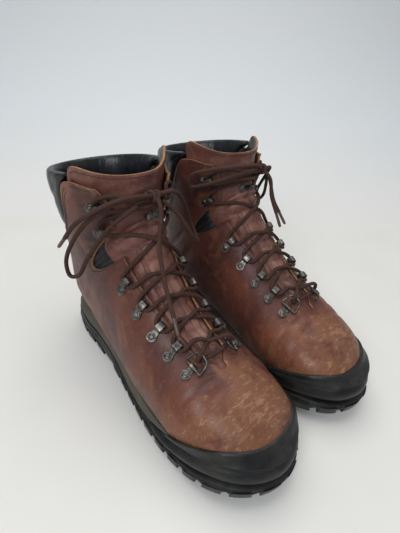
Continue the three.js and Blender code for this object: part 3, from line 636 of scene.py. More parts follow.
def round_the_boot(lower, rows, columns, below=0.0, half=throat, start=THROAT_START):
    """Sections, angles and uncut rows of a sheet from one side of its opening round to the other.

    Its lower rows lie at the given sections, and the rest reach up to `below` short of the top line.
    """
    b = np.linspace(0, 1, columns)[None, :]
    top = np.full(columns, 15.0)
    for _ in range(6):
        hole = opening(top, half, start)
        top = top_line(hole + b[0] * (360 - 2 * hole)) - below
    share = np.linspace(0, 1, rows - len(lower) + 1)[1:]
    s = np.vstack([np.repeat(lower[:, None], columns, 1), lerp(11, top[None, :], share[:, None])])
    hole = opening(s, half, start)
    return s, hole + b * (360 - 2 * hole), hole[:, 0] <= 0


def upper(side):
    lower = np.r_[np.linspace(0.15, 4.2, 46), np.linspace(4.25, 4.6, 12), np.linspace(4.68, 11, 78)]
    s, d, uncut = round_the_boot(lower, 190, 230)
    out = leather_relief(s, d, LEATHER_SEED[side])
    a = np.minimum(d, 360 - d)
    face = skin(s, d)
    f, z = -face[..., 1], face[..., 2]
    wear = 0.95 * smooth(205, 272, f) + 0.3 * smooth(4.2, 2.8, s)
    wear += 0.45 * (1 - smooth(38, 62, z)) * smooth(90, 150, f)
    wear += 0.35 * hump(a - throat(s), 9) + 0.3 * smooth(-0.5, 0, s - top_line(d))
    wear += 0.22 * smooth(11.5, 13, s) + 0.12
    shape = Shape()
    inner = skin(s, d, out * 0.9 - LEATHER)
    shape.shell(skin(s, d, out), inner, 1, welded=uncut, swell=0.35, tint=wear)
    return shape.make("upper", side, "leather edge", replaces=["upper"])


def tongue_top(edge):
    """The tongue's concave top line, higher at its two tips; edge runs from -1 to 1."""
    return 15.35 + 1.75 * np.abs(edge) ** 2 + 0.25 * edge**3 - 1.3 * np.abs(edge) ** 14


def tongue_flare(edge, below_top):
    return 1.6 * smooth(-1.1, 0, below_top) * (1 - 0.4 * np.abs(edge))


def tongue_softness(s, d, side):
    tucked = 0.8 * smooth(0.8, 1.0, np.abs(d) / throat(s)) * (1 - smooth(13.5, 14.2, s))
    return 0.5 * ripple(s, d + 360, TONGUE_SEED[side], 1.5) * smooth(4.6, 5.4, s) * (1 - tucked)


def tongue(side):
    rows, columns, pitch = 170, 90, 0.98
    a, b = np.meshgrid(np.linspace(0, 1, rows), np.linspace(0, 1, columns), indexing="ij")
    edge = 2 * b - 1
    top = tongue_top(edge)
    s = lerp(TONGUE_START, top, a)
    half = tongue_half(s)
    d = lerp(-half, half, b)
    share = np.abs(d) / throat(s)
    middle = 1 - smooth(0.5, 0.6, share)
    pad = np.abs(np.sin(np.pi * (s - 4.75) / pitch)) ** 0.5
    pad = pad * (1 - 0.55 * hump(share, 0.035))
    beside = np.abs(np.sin(np.pi * (s - 4.75 + pitch / 2) / pitch)) ** 0.5
    beside = beside * (1 - middle) * (1 - smooth(0.8, 1.0, share))
    bellows = smooth(4.5, 4.9, s) * (1 - smooth(10.9, 11.3, s))
    relief = bellows * (3.1 * pad * middle + 2.4 * beside - 1.8 * hump(share - 0.55, 0.07) - 0.5)
    seam = 0.8 * hump(s - 11.35, 0.05) * (1 - smooth(0.9, 1.1, share))
    flare = tongue_flare(edge, s - top)
    soft = tongue_softness(s, d, side) * (1 - 0.75 * bellows)
    out = tongue_face(s, d) + relief - seam + flare + soft
    wear = 0.2 + 0.75 * bellows * pad * middle + 0.35 * np.abs(edge) ** 3 + 0.25 * smooth(-0.6, 0, s - top)
    thin = smooth(-0.9, -0.1, s - top)
    inner = lerp(tongue_face(s, d) - TONGUE + 0.6 * flare, out - 2.3, thin)
    shape = Shape()
    shape.shell(skin(s, d, out), skin(s, d, inner), 1, swell=0.35, tint=wear, back=2)
    return shape.make("tongue", side, "tongue edge collar", replaces=["tongue"])


def collar(side):
    columns, round_count = 200, 40
    d = np.linspace(74, 286, columns)[None, :]
    w = np.linspace(0, 2 * math.pi, round_count, endpoint=False)[:, None]
    low = top_line(d) + 0.03
    ends = 1 - 0.35 * np.clip(np.abs(d - 180) / 106, 0, 1) ** 12
    swell = 0.5 * np.sin(np.radians(d * 17)) + 0.35 * np.sin(np.radians(d * 29 + 40))
    c, q = np.cos(w), np.sin(w)
    s = (low + TOP) / 2 + (TOP - low) / 2 * ends * np.sign(q) * np.abs(q) ** 0.75
    out = -3.4 + 5.8 * ends * np.sign(c) * np.abs(c) ** 0.7
    out = out + 0.35 * swell * smooth(0.1, 0.8, np.abs(c)) * smooth(0, 0.6, q + 0.6)
    crease = hump(s - lerp(low, TOP, 0.5), 0.1) * smooth(0.2, 0.9, c)
    shape = Shape()
    points = skin(s, d, out - 0.9 * crease).transpose(1, 0, 2)
    shape.ends(shape.grid(points, wrap=True))
    return shape.make("collar", side, "collar", replaces=["collar"])


def lining(side):
    def half(v):
        return tongue_half(v) + 5

    s, d, uncut = round_the_boot(np.linspace(1.0, 11, 60), 90, 120, 0.06, half, 3.65)
    thick = lerp(LINING_FOOT, LINING_SHAFT, smooth(9, 12, s))
    shape = Shape()
    inner = skin(s, d, -LEATHER - GAP - thick + 0.3 * ripple(s, d, 5, 2.0))
    shape.shell(skin(s, d, -LEATHER - GAP - 0.25), inner, welded=uncut, swell=0.4)
    return shape.make("lining", side, "lining", replaces=["lining"])


def gusset(side):
    """The quilted black padding that shows in the ankle notch, one on each flank, under the leather."""
    shape = Shape()
    for sign in (-1, 1):
        s, d = np.meshgrid(np.linspace(9.5, 11.7, 60), np.linspace(42, 74, 40), indexing="ij")
        ribs = np.abs(np.sin(np.pi * (s - 9.6) / 0.36)) ** 0.5
        edge = smooth(9.5, 9.7, s) * (1 - smooth(11.5, 11.7, s)) * smooth(45, 54, d) * (1 - smooth(69, 74, d))
        out = -5.2 + (2.2 + 1.3 * ribs) * edge
        shape.shell(skin(s, sign * d, out), skin(s, sign * d, -6.0), swell=0.2)
    return shape.make("gusset", side, "gusset")


def inside(side):
    """The footbed and what is built in beneath and behind it."""
    def slab(name, s0, s1, d0, d1, outer, inner, paint):
        s, d = np.meshgrid(np.linspace(s0, s1, 48), np.linspace(d0, d1, 24), indexing="ij")
        shape = Shape()
        shape.shell(skin(s, d, outer), skin(s, d, inner), swell=0.4)
        return shape.make(name, side, paint, replaces=[name])

    slab("footbed", 1.15, 10.2, 144, 216, -4.9, -8.7, "footbed")
    slab("lasting_board", 0.95, 10.3, 142, 218, -2.5, -4.5, "board")
    slab("heel_counter", 10.8, 12.7, 106, 254, -2.5, -3.9, "stiffener")
    slab("shank", 5.6, 9.6, 171, 189, 1.8, 0.3, "steel")


# ---------------------------------------------------------------- sole
OUTLINE = [  # [x, forward] down the lateral side from the back of the heel, then back up the medial side
    [0, 0], [-17, 3.5], [-31, 13], [-40, 42], [-41, 80], [-43, 120], [-48.5, 160], [-53.5, 200],
    [-53.5, 235], [-47.5, 268], [-33, 294], [-12, 309], [8.5, 312], [31, 303], [46, 284], [54, 255],
    [54.5, 225], [48.5, 190], [39, 155], [35, 118], [37, 80], [39, 42], [31, 13], [17, 3.5],
]
OUTLINE_CURVE = spline(OUTLINE, 12, closed=True)
RING = resample(np.vstack([OUTLINE_CURVE, OUTLINE_CURVE[:1]]), 2.0)[:-1]
RUN = np.r_[0, np.cumsum(np.linalg.norm(np.diff(RING, axis=0), axis=1))]
ALL = np.arange(len(RING))
GROOVE_RISE = 2.4


def toe_spring(f):
    return 13 * smooth(225, 325, f)


def tread_top(f):
    return 12 + 11 * (1 - smooth(78, 175, f)) + 13 * smooth(215, 300, f)


def welt(f):
    """Where the leather meets the sole unit: the foam band to the ball, then the rubber round the toe."""
    return lerp(39, 30.5, smooth(40, 190, f)) + 25 * smooth(212, 300, f)


def band_low(f):
    return lerp(tread_top(f) + 0.3, welt(f), smooth(176, 238, f))


def inward():
    """For each outline point: a place on the boot's middle line, the way from it, and how far."""
    middle = np.interp(RING[:, 1], [0, 150, 250, 312], [0, -3, 0, 6])
    centre = np.stack([middle, np.clip(RING[:, 1], 46, 258)], -1)
    away = RING - centre
    far = np.linalg.norm(away, axis=1, keepdims=True)
    return centre, away / far, far[:, 0]


CENTRE, AWAY, FAR = inward()
F = RING[:, 1]


def ring_points(inset, z, which=slice(None)):
    """The sole's outline moved in by `inset`, at heights z."""
    reach = np.maximum(FAR[which] - inset, 0.2)[:, None]
    p = CENTRE[which] + AWAY[which] * reach
    return np.column_stack([p[:, 0], -p[:, 1], np.broadcast_to(z, len(p))])


def leather_tree():
    p = skin(np.linspace(0, 12, 90)[:, None], np.linspace(0, 360, 181)[None, :])
    shape = Shape()
    shape.grid(p)
    front = p[0].mean(0) + [0, -4, 0]
    tip = shape.add([front])
    for j in range(180):
        shape.face([j, j + 1, tip])
    return BVHTree.FromPolygons([Vector(v) for v in shape.points], shape.faces)


TREE = leather_tree()


def hug(z, which):
    """For each outline point, how far in the leather lies at height z."""
    outer = ring_points(-8, z, which)
    far = ring_points(60, z, which)
    found = []
    for a, b in zip(outer, far):
        way = Vector(b - a).normalized()
        hit = TREE.ray_cast(Vector(a), way)
        found.append(12.0 if hit[0] is None else hit[3] - 8.0)
    return np.clip(np.array(found), -1.0, 30.0)


def wall(name, side, levels, paint, replaces, which=ALL, closed=True, extra=None):
    """A band round the sole from (inset, z) levels, closed at its top and bottom levels."""
    shape = Shape()
    rows = [ring_points(inset, z, which) for inset, z in levels]
    index = shape.grid(np.array(rows), wrap=closed)
    if closed:
        shape.ends(index)
    else:
        for k in range(len(which) - 1):
            shape.face([index[0, k], index[0, k + 1], index[-1, k + 1], index[-1, k]])
        for end in (0, -1):
            shape.face(list(index[:, end]))
    if extra:
        extra(shape)
    return shape.make(name, side, paint, sharp=50, replaces=replaces)


def chamfered(shape, bottom, top):
    """A block from its bottom and top outlines, with chamfered bottom edges."""
    bottom, top = np.asarray(bottom, float), np.asarray(top, float)

    def eased(goal):
        way = goal - bottom
        return bottom + way * (CHAMFER / np.maximum(np.linalg.norm(way, axis=1, keepdims=True), 1e-3))

    shape.ends(shape.grid(np.array([eased(bottom.mean(0)), eased(top), top]), wrap=True))


def lug_spans():
    """Where each edge lug starts and ends along the outline."""
    spans, a = [], 6.0
    while a < RUN[-1] - 8:
        f = np.interp(a + 6, RUN, F)
        heel, waist = f < 84, 84 < f < 122
        length = 17.0 if heel else 13.0 + 5 * float(smooth(255, 285, f))
        if not waist and a + length < RUN[-1] - 1:
            spans.append((a, a + length, heel))
        a += 7.0 if waist else length + (6.0 if heel else 6.2)
    return spans


LUG_SPANS = lug_spans()


def between_lugs(at):
    """1 in the middle of the gap between two edge lugs, 0 along a lug and at the waist."""
    reach = min_distance(at, LUG_SPANS)
    return smooth(0.4, 2.6, reach) * (1 - smooth(6, 9, reach))


def min_distance(at, spans):
    """How far along the outline each place lies from the nearest span."""
    found = np.full(len(at), 1e3)
    for start, end, _ in spans:
        found = np.minimum(found, np.maximum(np.maximum(start - at, at - end), 0))
    return found


def toe_bulge(f):
    return TOE_BULGE * smooth(225, 290, f)


def outline_point(inset, run, height):
    """A point of the tread, at a distance along the outline and a height over the toe spring."""
    centre, away = (np.array([np.interp(run, RUN, v[:, i]) for i in (0, 1)]) for v in (CENTRE, AWAY))
    x, f = centre + unit(away) * (np.interp(run, RUN, FAR) - inset)
    return [x, -f, float(toe_spring(f)) + height]


def lugs(shape):
    """Edge lugs along both sides, then angled bars down the middle of the tread."""
    for start, end, heel in LUG_SPANS:
        deep, skew = (15, 0.0) if heel else (17, 1.5)
        at = np.linspace(start, end, 5)
        middle = at.mean()
        bulge = float(toe_bulge(np.interp(middle, RUN, F)))
        bottom = [outline_point(0.6 - 0.6 * bulge, a, 0.02) for a in at]
        bottom += [outline_point(deep, middle + (a - middle) * 0.62 + skew, 0.02) for a in at[::-1]]
        top = [outline_point(-0.6 - bulge, lerp(middle, a, 0.8), LUG + 5.2) for a in at]
        top += [outline_point(deep + 1, lerp(middle, a, 0.75) + skew, LUG + 5.2) for a in at[::-1]]
        chamfered(shape, bottom, top)

    def bar(x, f, long, wide, turn):
        c, q = math.cos(turn), math.sin(turn)
        corners = [(-long / 2, -wide / 2), (long / 2, -wide / 2), (long / 2, wide / 2), (-long / 2, wide / 2)]
        flat = [(x + u * c - v * q, f + u * q + v * c) for u, v in corners]
        z = float(toe_spring(f))
        bottom, top = ([(px, -pf, z + up) for px, pf in flat] for up in (0.02, LUG + 1.2))
        chamfered(shape, bottom, top)

    for f in np.arange(140, 286, 17):
        for sign in (-1, 1):
            bar(sign * 11 + 1, f, 19, 8, sign * 0.45)
    for f in (30, 56):
        bar(0, f, 30, 10, 0)


def outsole(side):
    low = toe_spring(F) + LUG + GROOVE_RISE * between_lugs(RUN)
    high = tread_top(F)
    levels = [(9, low), (3.2, low), (1.6, low + 0.2), (0.6, low + 1.2)]
    profile = [(0.42, 0.1), (0.58, 0.35), (0.66, 1.3), (0.72, 1.5), (0.8, 0.7), (0.92, 0.7)]
    levels += [(inset, lerp(low, high, t)) for t, inset in profile] + [(1.5, high), (9, high)]
    levels = [(inset - toe_bulge(F) * (inset < 3), z) for inset, z in levels]
    wall("outsole", side, levels, "rubber", ["outsole"], extra=lugs)


def midsole(side):
    base = band_low(F)
    edge = np.maximum(welt(F), base + 0.4)
    close = hug(edge, ALL)
    rise = [0.0, 0.04, 0.12, 0.3, 0.5, 0.7, 0.85, 0.95, 1.0]
    swell = [3.0, 2.3, 1.9, 1.9, 2.3, 2.6, 2.5, 2.3, 2.9]
    levels = [(9, base)]
    for t, inset in zip(rise, swell):
        reach = np.minimum(lerp(inset, close - 1.2, smooth(0.55, 1.0, t)), 14)
        levels.append((reach, lerp(base, edge, t)))
    levels.append((close + 2.5, edge - 0.3))
    gone = smooth(238, 250, F)
    levels = [(lerp(inset, 16.0, gone), lerp(z, tread_top(F) + 3.0, gone)) for inset, z in levels]
    wall("midsole", side, levels, "midsole", ["midsole"])


def toe_rand(side):
    which = np.flatnonzero(F > 178)
    f = F[which]
    base = tread_top(f) + 0.25
    peak = np.where(f < 238, band_low(f), welt(f) + 1.2 * smooth(225, 262, f))
    peak = np.maximum(peak, base + 0.5)
    grow = smooth(186, 232, f)
    profile = [(0.0, 4.2), (0.05, 2.8), (0.12, 0.9), (0.22, -0.3), (0.33, -0.5), (0.43, 0.3)]
    profile += [(0.5, 2.2), (0.55, 3.9), (0.6, 4.3), (0.66, 3.0), (0.74, 1.9)]
    levels = [(8 + 0 * f, base)]
    for t, inset in profile:
        z = lerp(base, peak, t)
        levels.append((np.minimum(lerp(1.8, inset, grow), hug(z, which) - 1.6), z))
    for t in (0.82, 0.9, 0.96, 1.0):
        z = lerp(base, peak, t)
        near = hug(z, which)
        thick = 3.0 - 0.4 * smooth(0.9, 1.0, t)
        band = np.minimum(lerp(1.8, 2.6, grow), near - 1.6)
        on_leather = lerp(band, near - thick, smooth(0.74, 0.86, t) * smooth(200, 232, f))
        levels.append((np.where(f < 200, band, on_leather), z))
    near = hug(peak, which)
    levels.append((near - 0.9, peak + 0.5))
    levels.append((np.maximum(near + 2.0, 6), peak - 0.8))
    wall("toe_rand", side, levels, "rubber", ["toe_rand"], which=which, closed=False)


# ---------------------------------------------------------------- lace hardware
def placed(frame):
    return lambda p: in_seat(frame, p)


def arc(centre, radius, start, end, count):
    a = np.radians(np.linspace(start, end, count))
    return [(centre[0] + radius * math.cos(v), centre[1] + radius * math.sin(v)) for v in a]


def rivet(shape, frame, at):
    def place(p):
        return in_seat(frame, np.asarray(p) + [at, 0, 0])

    r, h = RIVET, METAL
    shape.lathe([(0.01, 0), (r - 0.2, 0), (r, 0.25), (r, h - 0.3), (r - 0.35, h), (r * 0.8, h)], place)
    dome = [(r * 0.8, h - 0.05), (r * 0.78, h + 0.25), (r * 0.7, h + 0.42), (r * 0.6, h + 0.4)]
    dome += [(r * 0.56, h + 0.7), (r * 0.4, h + 0.98), (r * 0.2, h + 1.1), (0.01, h + 1.13)]
    shape.lathe(dome, place)


def runner(shape, frame):
    wide, high, deep = TUNNEL
    r, t = 2.3, METAL
    x, z = wide / 2 - t / 2, high - t / 2
    low = t / 2
    line = arc((-x + r, low + r), r, 270, 180, 6) + arc((-x + r, z - r), r, 180, 90, 6)
    line += arc((x - r, z - r), r, 90, 0, 6) + arc((x - r * 0.5, low + r * 0.5), r * 0.5, 0, -90, 5)
    shape.strap(line, deep, t, placed(frame), closed=True)
    tab = [(wide / 2 - 1.6, low), (wide / 2 + 1, low), (wide / 2 + 3, low)]
    shape.strap(tab, 4.9, t, placed(frame), wide_end=6.4)
    rivet(shape, frame, wide / 2 + 6.4)


def hook(shape, frame):
    wide, high, deep = HOOK
    t, r = METAL, 1.9
    x0, x1, low = t / 2 - wide / 2, wide / 2 - 0.6, t / 2
    z = high - t / 2
    line = [(wide / 2, low), (0, low)]
    line += arc((x0 + r, low + r), r, 270, 180, 6) + arc((x0 + r, z - r), r, 180, 90, 6)
    line += [(0.5, z), (x1 - 1.2, z - 0.25)] + arc((x1 - 0.9, z + 0.75), 1.0, -80, 0, 4)
    shape.strap(line, deep, t, placed(frame), wide_end=deep * 0.9)
    shape.strap([(wide / 2 - 1.2, low), (wide / 2 + 1.2, low)], 5.4, t, placed(frame), wide_end=6.6)
    rivet(shape, frame, wide / 2 + 3.6)


def ring_strap(shape, frame):
    h = HINGE_HEIGHT
    curl = arc((0, h), h - METAL / 2, 262, -60, 26)
    shape.strap(curl, 6.0, METAL, placed(frame))
    tab = [(x, METAL / 2) for x in (0.2, h + 1, h + 3.4)]
    shape.strap(tab, 6.0, METAL, placed(frame), wide_end=6.6)
    rivet(shape, frame, h + 6)


def ring(shape, frame):
    half, tilt = RING_WIDE / 2, math.radians(RING_TILT)
    corners = [[0, -half], [0.5, 0.4 - half], [0.86, 2.0 - half], [1, -half / 2.4], [1, half / 2.4]]
    corners += [[0.86, half - 2.0], [0.5, half - 0.4], [0, half], [0, half / 2], [0, -half / 2]]
    out, rise = RING_REACH * math.cos(tilt), RING_REACH * math.sin(tilt)
    line = [[-r * out, y, HINGE_HEIGHT + r * rise] for r, y in corners]
    path = spline(line, 8, closed=True)
    shape.tube(in_seat(frame, np.vstack([path, path[:2]])), WIRE / 2, 12, cap=False)


def hardware(side):
    for label, sign in (("lateral", -1), ("medial", 1)):
        def piece(name, draw, frame, body=None):
            shape = Shape()
            draw(shape, frame)
            shape.make(name, side, "metal", sharp=38, replaces=[name], body=body)

        ring_seat = lacing_seat("ring", RING_ROW, sign)
        piece(f"ring_strap_{label}", ring_strap, ring_seat)
        piece(f"ring_{label}", ring, ring_seat, f"{side}_{label}_ring")
        for k, row in enumerate(RUNNER_ROWS):
            piece(f"runner_{label}_{k + 1}", runner, lacing_seat("runner", row, sign))
        for k, row in enumerate(HOOK_ROWS):
            piece(f"hook_{label}_{k + 1}", hook, lacing_seat("hook", row, sign))
    piece("tongue_hook", hook, keeper_seat())


# ---------------------------------------------------------------- lace
def crossing(start, end, lift):
    """The taut lace between two places, [section, degrees], over the tongue."""
    (s0, d0), (s1, d1) = start, end
    stops = [[lerp(s0, s1, t), lerp(d0, d1, t), lift * 0.4] for t in (0, 0.25, 0.5, 0.75, 1)]
    stops[2][2] = lift

    def point(p, s=None):
        s = p[0] if s is None else s
        height = max(float(tongue_face(s, p[1])), 0.2) + LACE / 2 + 1.7 + p[2]
        return skin(s, p[1], height)

    step = 0.5
    while step > 0.02:
        for i in (2, 1, 3):
            a, b = point(stops[i - 1]), point(stops[i + 1])
            tries = [stops[i][0] + k * step for k in (-2, -1, 0, 1, 2)]

            def long(s):
                return np.linalg.norm(point(stops[i], s) - a) + np.linalg.norm(point(stops[i], s) - b)

            stops[i][0] = min(tries, key=long)
        step *= 0.7
    return [point(p) for p in stops[1:4]]


def lace_half(start, lift):
    through_ring = [[-17.5, -3.0, 2.8], [-12, -1.4, 2.6], [-7.6, -0.4, 3.2]]
    through_ring += [[-5.8, 0.4, 7.4], [-8.2, 1.4, 11.4], [-13.5, 3.0, 12.3]]
    points = list(in_seat(lacing_seat("ring", RING_ROW, start), through_ring, True))
    side, last = start, [RING_ROW + 0.2, start * (throat(RING_ROW) - 8)]
    for row in RUNNER_ROWS:
        side = -side
        frame = lacing_seat("runner", row, side)
        mid, half = TUNNEL[1] / 2, TUNNEL[2] / 2
        points += crossing(last, [row - 0.15, side * (throat(row) - 2)], lift)
        points += list(in_seat(frame, [[-0.3, y, mid] for y in (-half - 2.2, half + 2.2)], True))
        last = [row + 0.35, side * (throat(row) - 2)]
    for row in HOOK_ROWS:
        side = -side
        x, mid, half = METAL - HOOK[0] / 2 + LACE / 2 + 0.9, HOOK[1] / 2, HOOK[2] / 2
        points += crossing(last, [row - 0.7, side * (throat(row) - 4)], lift)
        stops = [[x - 5.5, -half - 4, mid], [x, -half - 0.6, mid]]
        stops += [[x, half + 0.6, mid], [x - 5.5, half + 4, mid]]
        points += list(in_seat(lacing_seat("hook", row, side), stops, True))
        last = [row + 0.65, side * (throat(row) - 4)]
    return points


def knot_side(knot, gap):
    under = skin(KNOT_ROW, knot, KNOT_LIFT - 4)
    towards = unit(skin(KNOT_ROW, knot + 1, KNOT_LIFT) - skin(KNOT_ROW, knot, KNOT_LIFT))
    return under + towards * (gap + math.copysign(0.3 * KNOT_WIDE, gap))


def lace(side, knot):
    def to_knot(sign):
        start = [HOOK_ROWS[1] + 0.5, sign * (throat(HOOK_ROWS[1]) - 8)]
        ends = [knot_side(knot, sign * 6), knot_side(knot, -sign * 2)]
        return crossing(start, [KNOT_ROW, knot + sign * 22], 2) + ends

    middle = skin(RING_ROW - 0.1, 0, max(float(tongue_face(RING_ROW, 0)), 0) + LACE / 2 + 1.2)
    points = (lace_half(-1, 0) + to_knot(-1))[::-1] + [middle] + lace_half(1, LACE + 0.8) + to_knot(1)
    shape = Shape()
    shape.tube(resample(spline(points, 12), 0.9), LACE / 2, 12)
    shape.make("lace", side, "lace", replaces=["lace"])


def knot(side, at):
    """The knot: two turns over a crossing pair of strands."""
    frame = seat(KNOT_ROW, at, KNOT_LIFT)
    shape = Shape()

    def turn(rx, ry, rz, lean, shift):
        a = np.linspace(0, 2 * math.pi, 60)
        p = np.stack([shift + rx * np.sin(a * 2) * 0.35, ry * np.cos(a), rz * np.sin(a)], -1)
        c, q = math.cos(lean), math.sin(lean)
        p = np.stack([p[:, 0] * c - p[:, 1] * q, p[:, 0] * q + p[:, 1] * c, p[:, 2]], -1)
        shape.tube(in_seat(frame, p), LACE / 2, 12)

    turn(1.5, 4.3, 3.9, 0.35, -1.6)
    turn(1.2, 4.0, 3.6, -0.55, 2.2)
    across = [[-7.5, -1.5, -2.2], [-4, 0.5, 0.8], [0, 1.2, 2.4], [4, -0.5, 1.0], [7.5, -2.0, -2.0]]
    back = [[-6.5, 2.4, -2.5], [-2, -1.0, -1.6], [2, -1.5, -1.4], [6.5, 2.5, -2.5]]
    for strand in (across, back):
        shape.tube(in_seat(frame, spline(strand, 10)), LACE / 2, 12)
    return shape.make("bow_knot", side, "lace", replaces=["bow"])


# Each loop goes out from the knot and comes back; each tail ends free. [section, degrees, height]
BOWS = {
    "right": (4, [
        [[13.0, -22, 20], [12.7, -44, 21], [11.9, -62, 23], [11.1, -71, 24], [10.5, -74, 22],
         [10.2, -68, 20], [10.5, -56, 20], [11.3, -36, 20], [12.1, -14, 16]],
        [[12.7, 20, 19], [11.7, 36, 24], [10.3, 48, 28], [9.3, 50, 28],
         [8.8, 42, 26], [9.2, 30, 25], [10.4, 20, 23], [11.8, 10, 17]],
        [[13.1, -24, 22], [13.0, -40, 24], [12.7, -54, 27], [12.3, -64, 27]],
        [[12, 4, 17], [10.5, 2, 22], [8.8, -4, 21], [7.3, -10, 19], [6.1, -16, 18]],
    ]),
    "left": (-22, [
        [[13.1, -44, 19], [12.7, -58, 22], [11.8, -68, 23], [11.1, -64, 23],
         [11, -55, 22], [11.8, -46, 20], [12.5, -34, 15]],
        [[13.2, 2, 19], [13.7, 20, 20], [14.2, 42, 24], [14.2, 58, 24],
         [13.4, 60, 23], [12.9, 42, 22], [12.7, 18, 19], [12.6, -6, 14]],
        [[12.1, -36, 19], [11, -42, 25], [9.8, -44, 25], [8.8, -42, 23]],
        [[12, -20, 18], [11, -20, 23], [9.6, -20, 21], [8.4, -20, 19]],
    ]),
}


def bow(side):
    at, strands = BOWS[side]
    tied = knot(side, at)
    centre = skin(KNOT_ROW, at, KNOT_LIFT)
    for k, stops in enumerate(strands):
        loop = k < 2
        path = resample(spline([centre] + [skin(*p) for p in stops], 16), 1.2)
        shape = Shape()
        shape.tube(path, LACE / 2, 12)
        kind, number = "loop" if loop else "tail", k % 2 + 1
        piece = shape.make(f"bow_{kind}_{number}", side, "lace")
        parts = [tied] if k == 0 else []
        if not loop:
            tip = Shape()
            line = path[-1] + unit(path[-1] - path[-4])[None, :] * np.linspace(-2.5, 16, 24)[:, None]
            tip.tube(line, np.r_[1.75, np.full(20, 1.62), 1.5, 1.3, 1.0], 14)
            parts = [tip.make(f"aglet_{number}", side, "aglet")]


# ---------------------------------------------------------------- stitching
def core(p):
    """A point well inside the boot, straight in from p."""
    f = -p[1]
    return np.array([0, -np.clip(f, 62, 250), lerp(60, p[2], float(smooth(140, 90, f)))])


def stitches(side):
    shape = Shape()
    rise = np.array([-0.35, 0.12, 0.25, 0.12, -0.35])[:, None]

    def row(line, pitch=3.0):
        path = resample(np.asarray(line, float), pitch / 6)
        for k in range(0, len(path) - 5, 6):
            away = path[k + 2] - core(path[k + 2])
            shape.tube(path[k:k + 5] + away / max(np.linalg.norm(away), 1e-6) * rise * 0.9, THREAD, 6)

    def seam(s, d):
        row(skin(s, d, leather_relief(s, d % 360, LEATHER_SEED[side]) + 0.12))

    for sign in (-1, 1):
        for start, end, count, beside in ((4.75, 9.55, 160, 3.6), (11.75, 14.3, 90, 4.2)):
            s = np.linspace(start, end, count)
            seam(s, sign * (throat(s) + beside))
        d = sign * np.linspace(50, 72, 50)
        seam(top_line(d) - 0.28, d)
        s = 10.6 + np.linspace(-1.05, 1.05, 80)  # round the ankle notch
        seam(s, sign * (throat(s) + 3.8))
    for inset in (0.3, 0.55):
        d = np.linspace(76, 284, 240)
        seam(top_line(d) - inset, d)
    for offset in (-4.5, 4.5):
        seam(np.linspace(11.2, 13.0, 80), 180 + offset)
    b = np.linspace(0.04, 0.96, 120)
    edge = 2 * b - 1
    s = tongue_top(edge) - 0.3
    half = tongue_half(s)
    d = lerp(-half, half, b)
    out = tongue_face(s, d) + tongue_flare(edge, -0.3) + tongue_softness(s, d, side)
    row(skin(s, d, out + 0.15), pitch=2.6)
    shape.make("stitching", side, "thread")


# ---------------------------------------------------------------- stage, light and camera
CAMERA = {"azimuth": -42.3, "elevation": 33.6, "roll": 3.7, "distance": 384.0, "lens": 23.4}
TARGET = (4.3, 28.4, 100.0)


def camera():
    az, el, roll = (math.radians(CAMERA[k]) for k in ("azimuth", "elevation", "roll"))
    back = np.array([math.sin(az) * math.cos(el), -math.cos(az) * math.cos(el), math.sin(el)])
    right = np.array([math.cos(az), math.sin(az), 0.0])
    up = np.cross(back, right)
    c, q = math.cos(roll), math.sin(roll)
    right, up = right * c + up * q, up * c - right * q
    eye = (np.array(TARGET) + back * CAMERA["distance"]) * MM
    turn = Matrix(np.stack([right, up, back], -1).tolist()).to_4x4()
    data = bpy.data.cameras.new("camera")
    data.lens, data.sensor_width = CAMERA["lens"], 36
    data.clip_start = 0.02
    made = bpy.data.objects.new("camera", data)
    made.matrix_world = Matrix.Translation(Vector(eye)) @ turn
    bpy.context.scene.collection.objects.link(made)
    bpy.context.scene.camera = made


def stage_mesh(name, points, faces, paint):
    mesh = bpy.data.meshes.new(name)
    mesh.from_pydata([tuple(float(v) for v in p) for p in points], [], faces)
    mesh.polygons.foreach_set("use_smooth", [True] * len(faces))
    mesh.materials.append(paint)
    made = bpy.data.objects.new(name, mesh)
    bpy.context.scene.collection.objects.link(made)


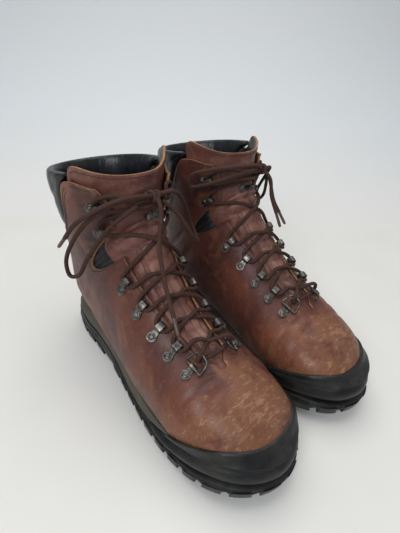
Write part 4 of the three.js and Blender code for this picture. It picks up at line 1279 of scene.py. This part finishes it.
def stage():
    floor = Paint("floor", srgb(224, 221, 214), 0.55)
    floor.color(floor.ramp(floor.noise(7, 4, 0.5), (0.3, srgb(219, 217, 212)), (0.7, srgb(224, 222, 218))))
    wall_paint = Paint("backdrop", srgb(221, 220, 217), 0.8)
    # The backdrop is painted lighter at its foot and darker towards its top: painted shade where less light
    # reaches the upper wall.
    height = wall_paint.node("ShaderNodeSeparateXYZ", {0: wall_paint.where}).outputs[2]
    tones = (0.0, srgb(221, 220, 217)), (0.12, srgb(214, 217, 219)), (0.7, srgb(186, 188, 190))
    wall_paint.color(wall_paint.ramp(height, *tones))
    wide, back, radius, high = 2.2, 0.34, 0.75, 1.8
    a = math.radians(-38)
    profile = [(-1.6, 0.0), (back, 0.0)]
    for t in np.linspace(0.08, math.pi / 2, 18):
        profile.append((back + radius * math.sin(t), radius * (1 - math.cos(t))))
    profile += [(back + radius, high)]
    across, along = np.array([math.cos(a), math.sin(a)]), np.array([-math.sin(a), math.cos(a)])
    points = []
    for y, z in profile:
        for x in (-wide, wide):
            points.append((*(across * x + along * y), z))
    faces = [[2 * k, 2 * k + 1, 2 * k + 3, 2 * k + 2] for k in range(len(profile) - 1)]
    stage_mesh("floor", points[:4], faces[:1], floor.material)
    stage_mesh("backdrop", points[2:], [[v - 2 for v in f] for f in faces[1:]], wall_paint.material)


def light(name, energy, size, place, target, color):
    data = bpy.data.lights.new(name, "AREA")
    data.energy, data.color = energy, color
    data.shape, data.size, data.size_y = "RECTANGLE", size[0], size[1]
    made = bpy.data.objects.new(name, data)
    made.location = place
    made.rotation_euler = (Vector(target) - Vector(place)).to_track_quat("-Z", "Y").to_euler()
    bpy.context.scene.collection.objects.link(made)


def lights():
    bpy.context.scene.view_settings.view_transform = "Standard"
    world = bpy.data.worlds.new("world")
    world.use_nodes = True
    world.node_tree.nodes["Background"].inputs[0].default_value = (0.80, 0.86, 0.93, 1)
    world.node_tree.nodes["Background"].inputs[1].default_value = 0.42
    bpy.context.scene.world = world
    light("overhead", 12.0, (1.3, 1.1), (0.1, 0.25, 1.35), (0, 0, 0.05), (1.0, 0.98, 0.95))
    light("window", 9.0, (0.6, 0.6), (-1.05, -0.5, 0.95), (0, 0, 0.1), (0.95, 0.98, 1.0))
    light("fill", 1.2, (0.8, 0.8), (0.85, -0.85, 0.7), (0, 0, 0.08), (1.0, 0.97, 0.93))


# ---------------------------------------------------------------- the pair
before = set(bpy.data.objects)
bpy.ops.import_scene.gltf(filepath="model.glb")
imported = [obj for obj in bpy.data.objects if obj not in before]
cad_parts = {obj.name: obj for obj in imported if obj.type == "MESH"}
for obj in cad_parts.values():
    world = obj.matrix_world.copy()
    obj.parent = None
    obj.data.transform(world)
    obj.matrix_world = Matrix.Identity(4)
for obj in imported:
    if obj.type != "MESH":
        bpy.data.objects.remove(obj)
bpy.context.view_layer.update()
for boot_side in ("right", "left"):
    outsole(boot_side)
    midsole(boot_side)
    toe_rand(boot_side)
    inside(boot_side)
    lining(boot_side)
    upper(boot_side)
    gusset(boot_side)
    tongue(boot_side)
    collar(boot_side)
    hardware(boot_side)
    lace(boot_side, BOWS[boot_side][0])
    bow(boot_side)
    stitches(boot_side)
stage()
lights()
camera()
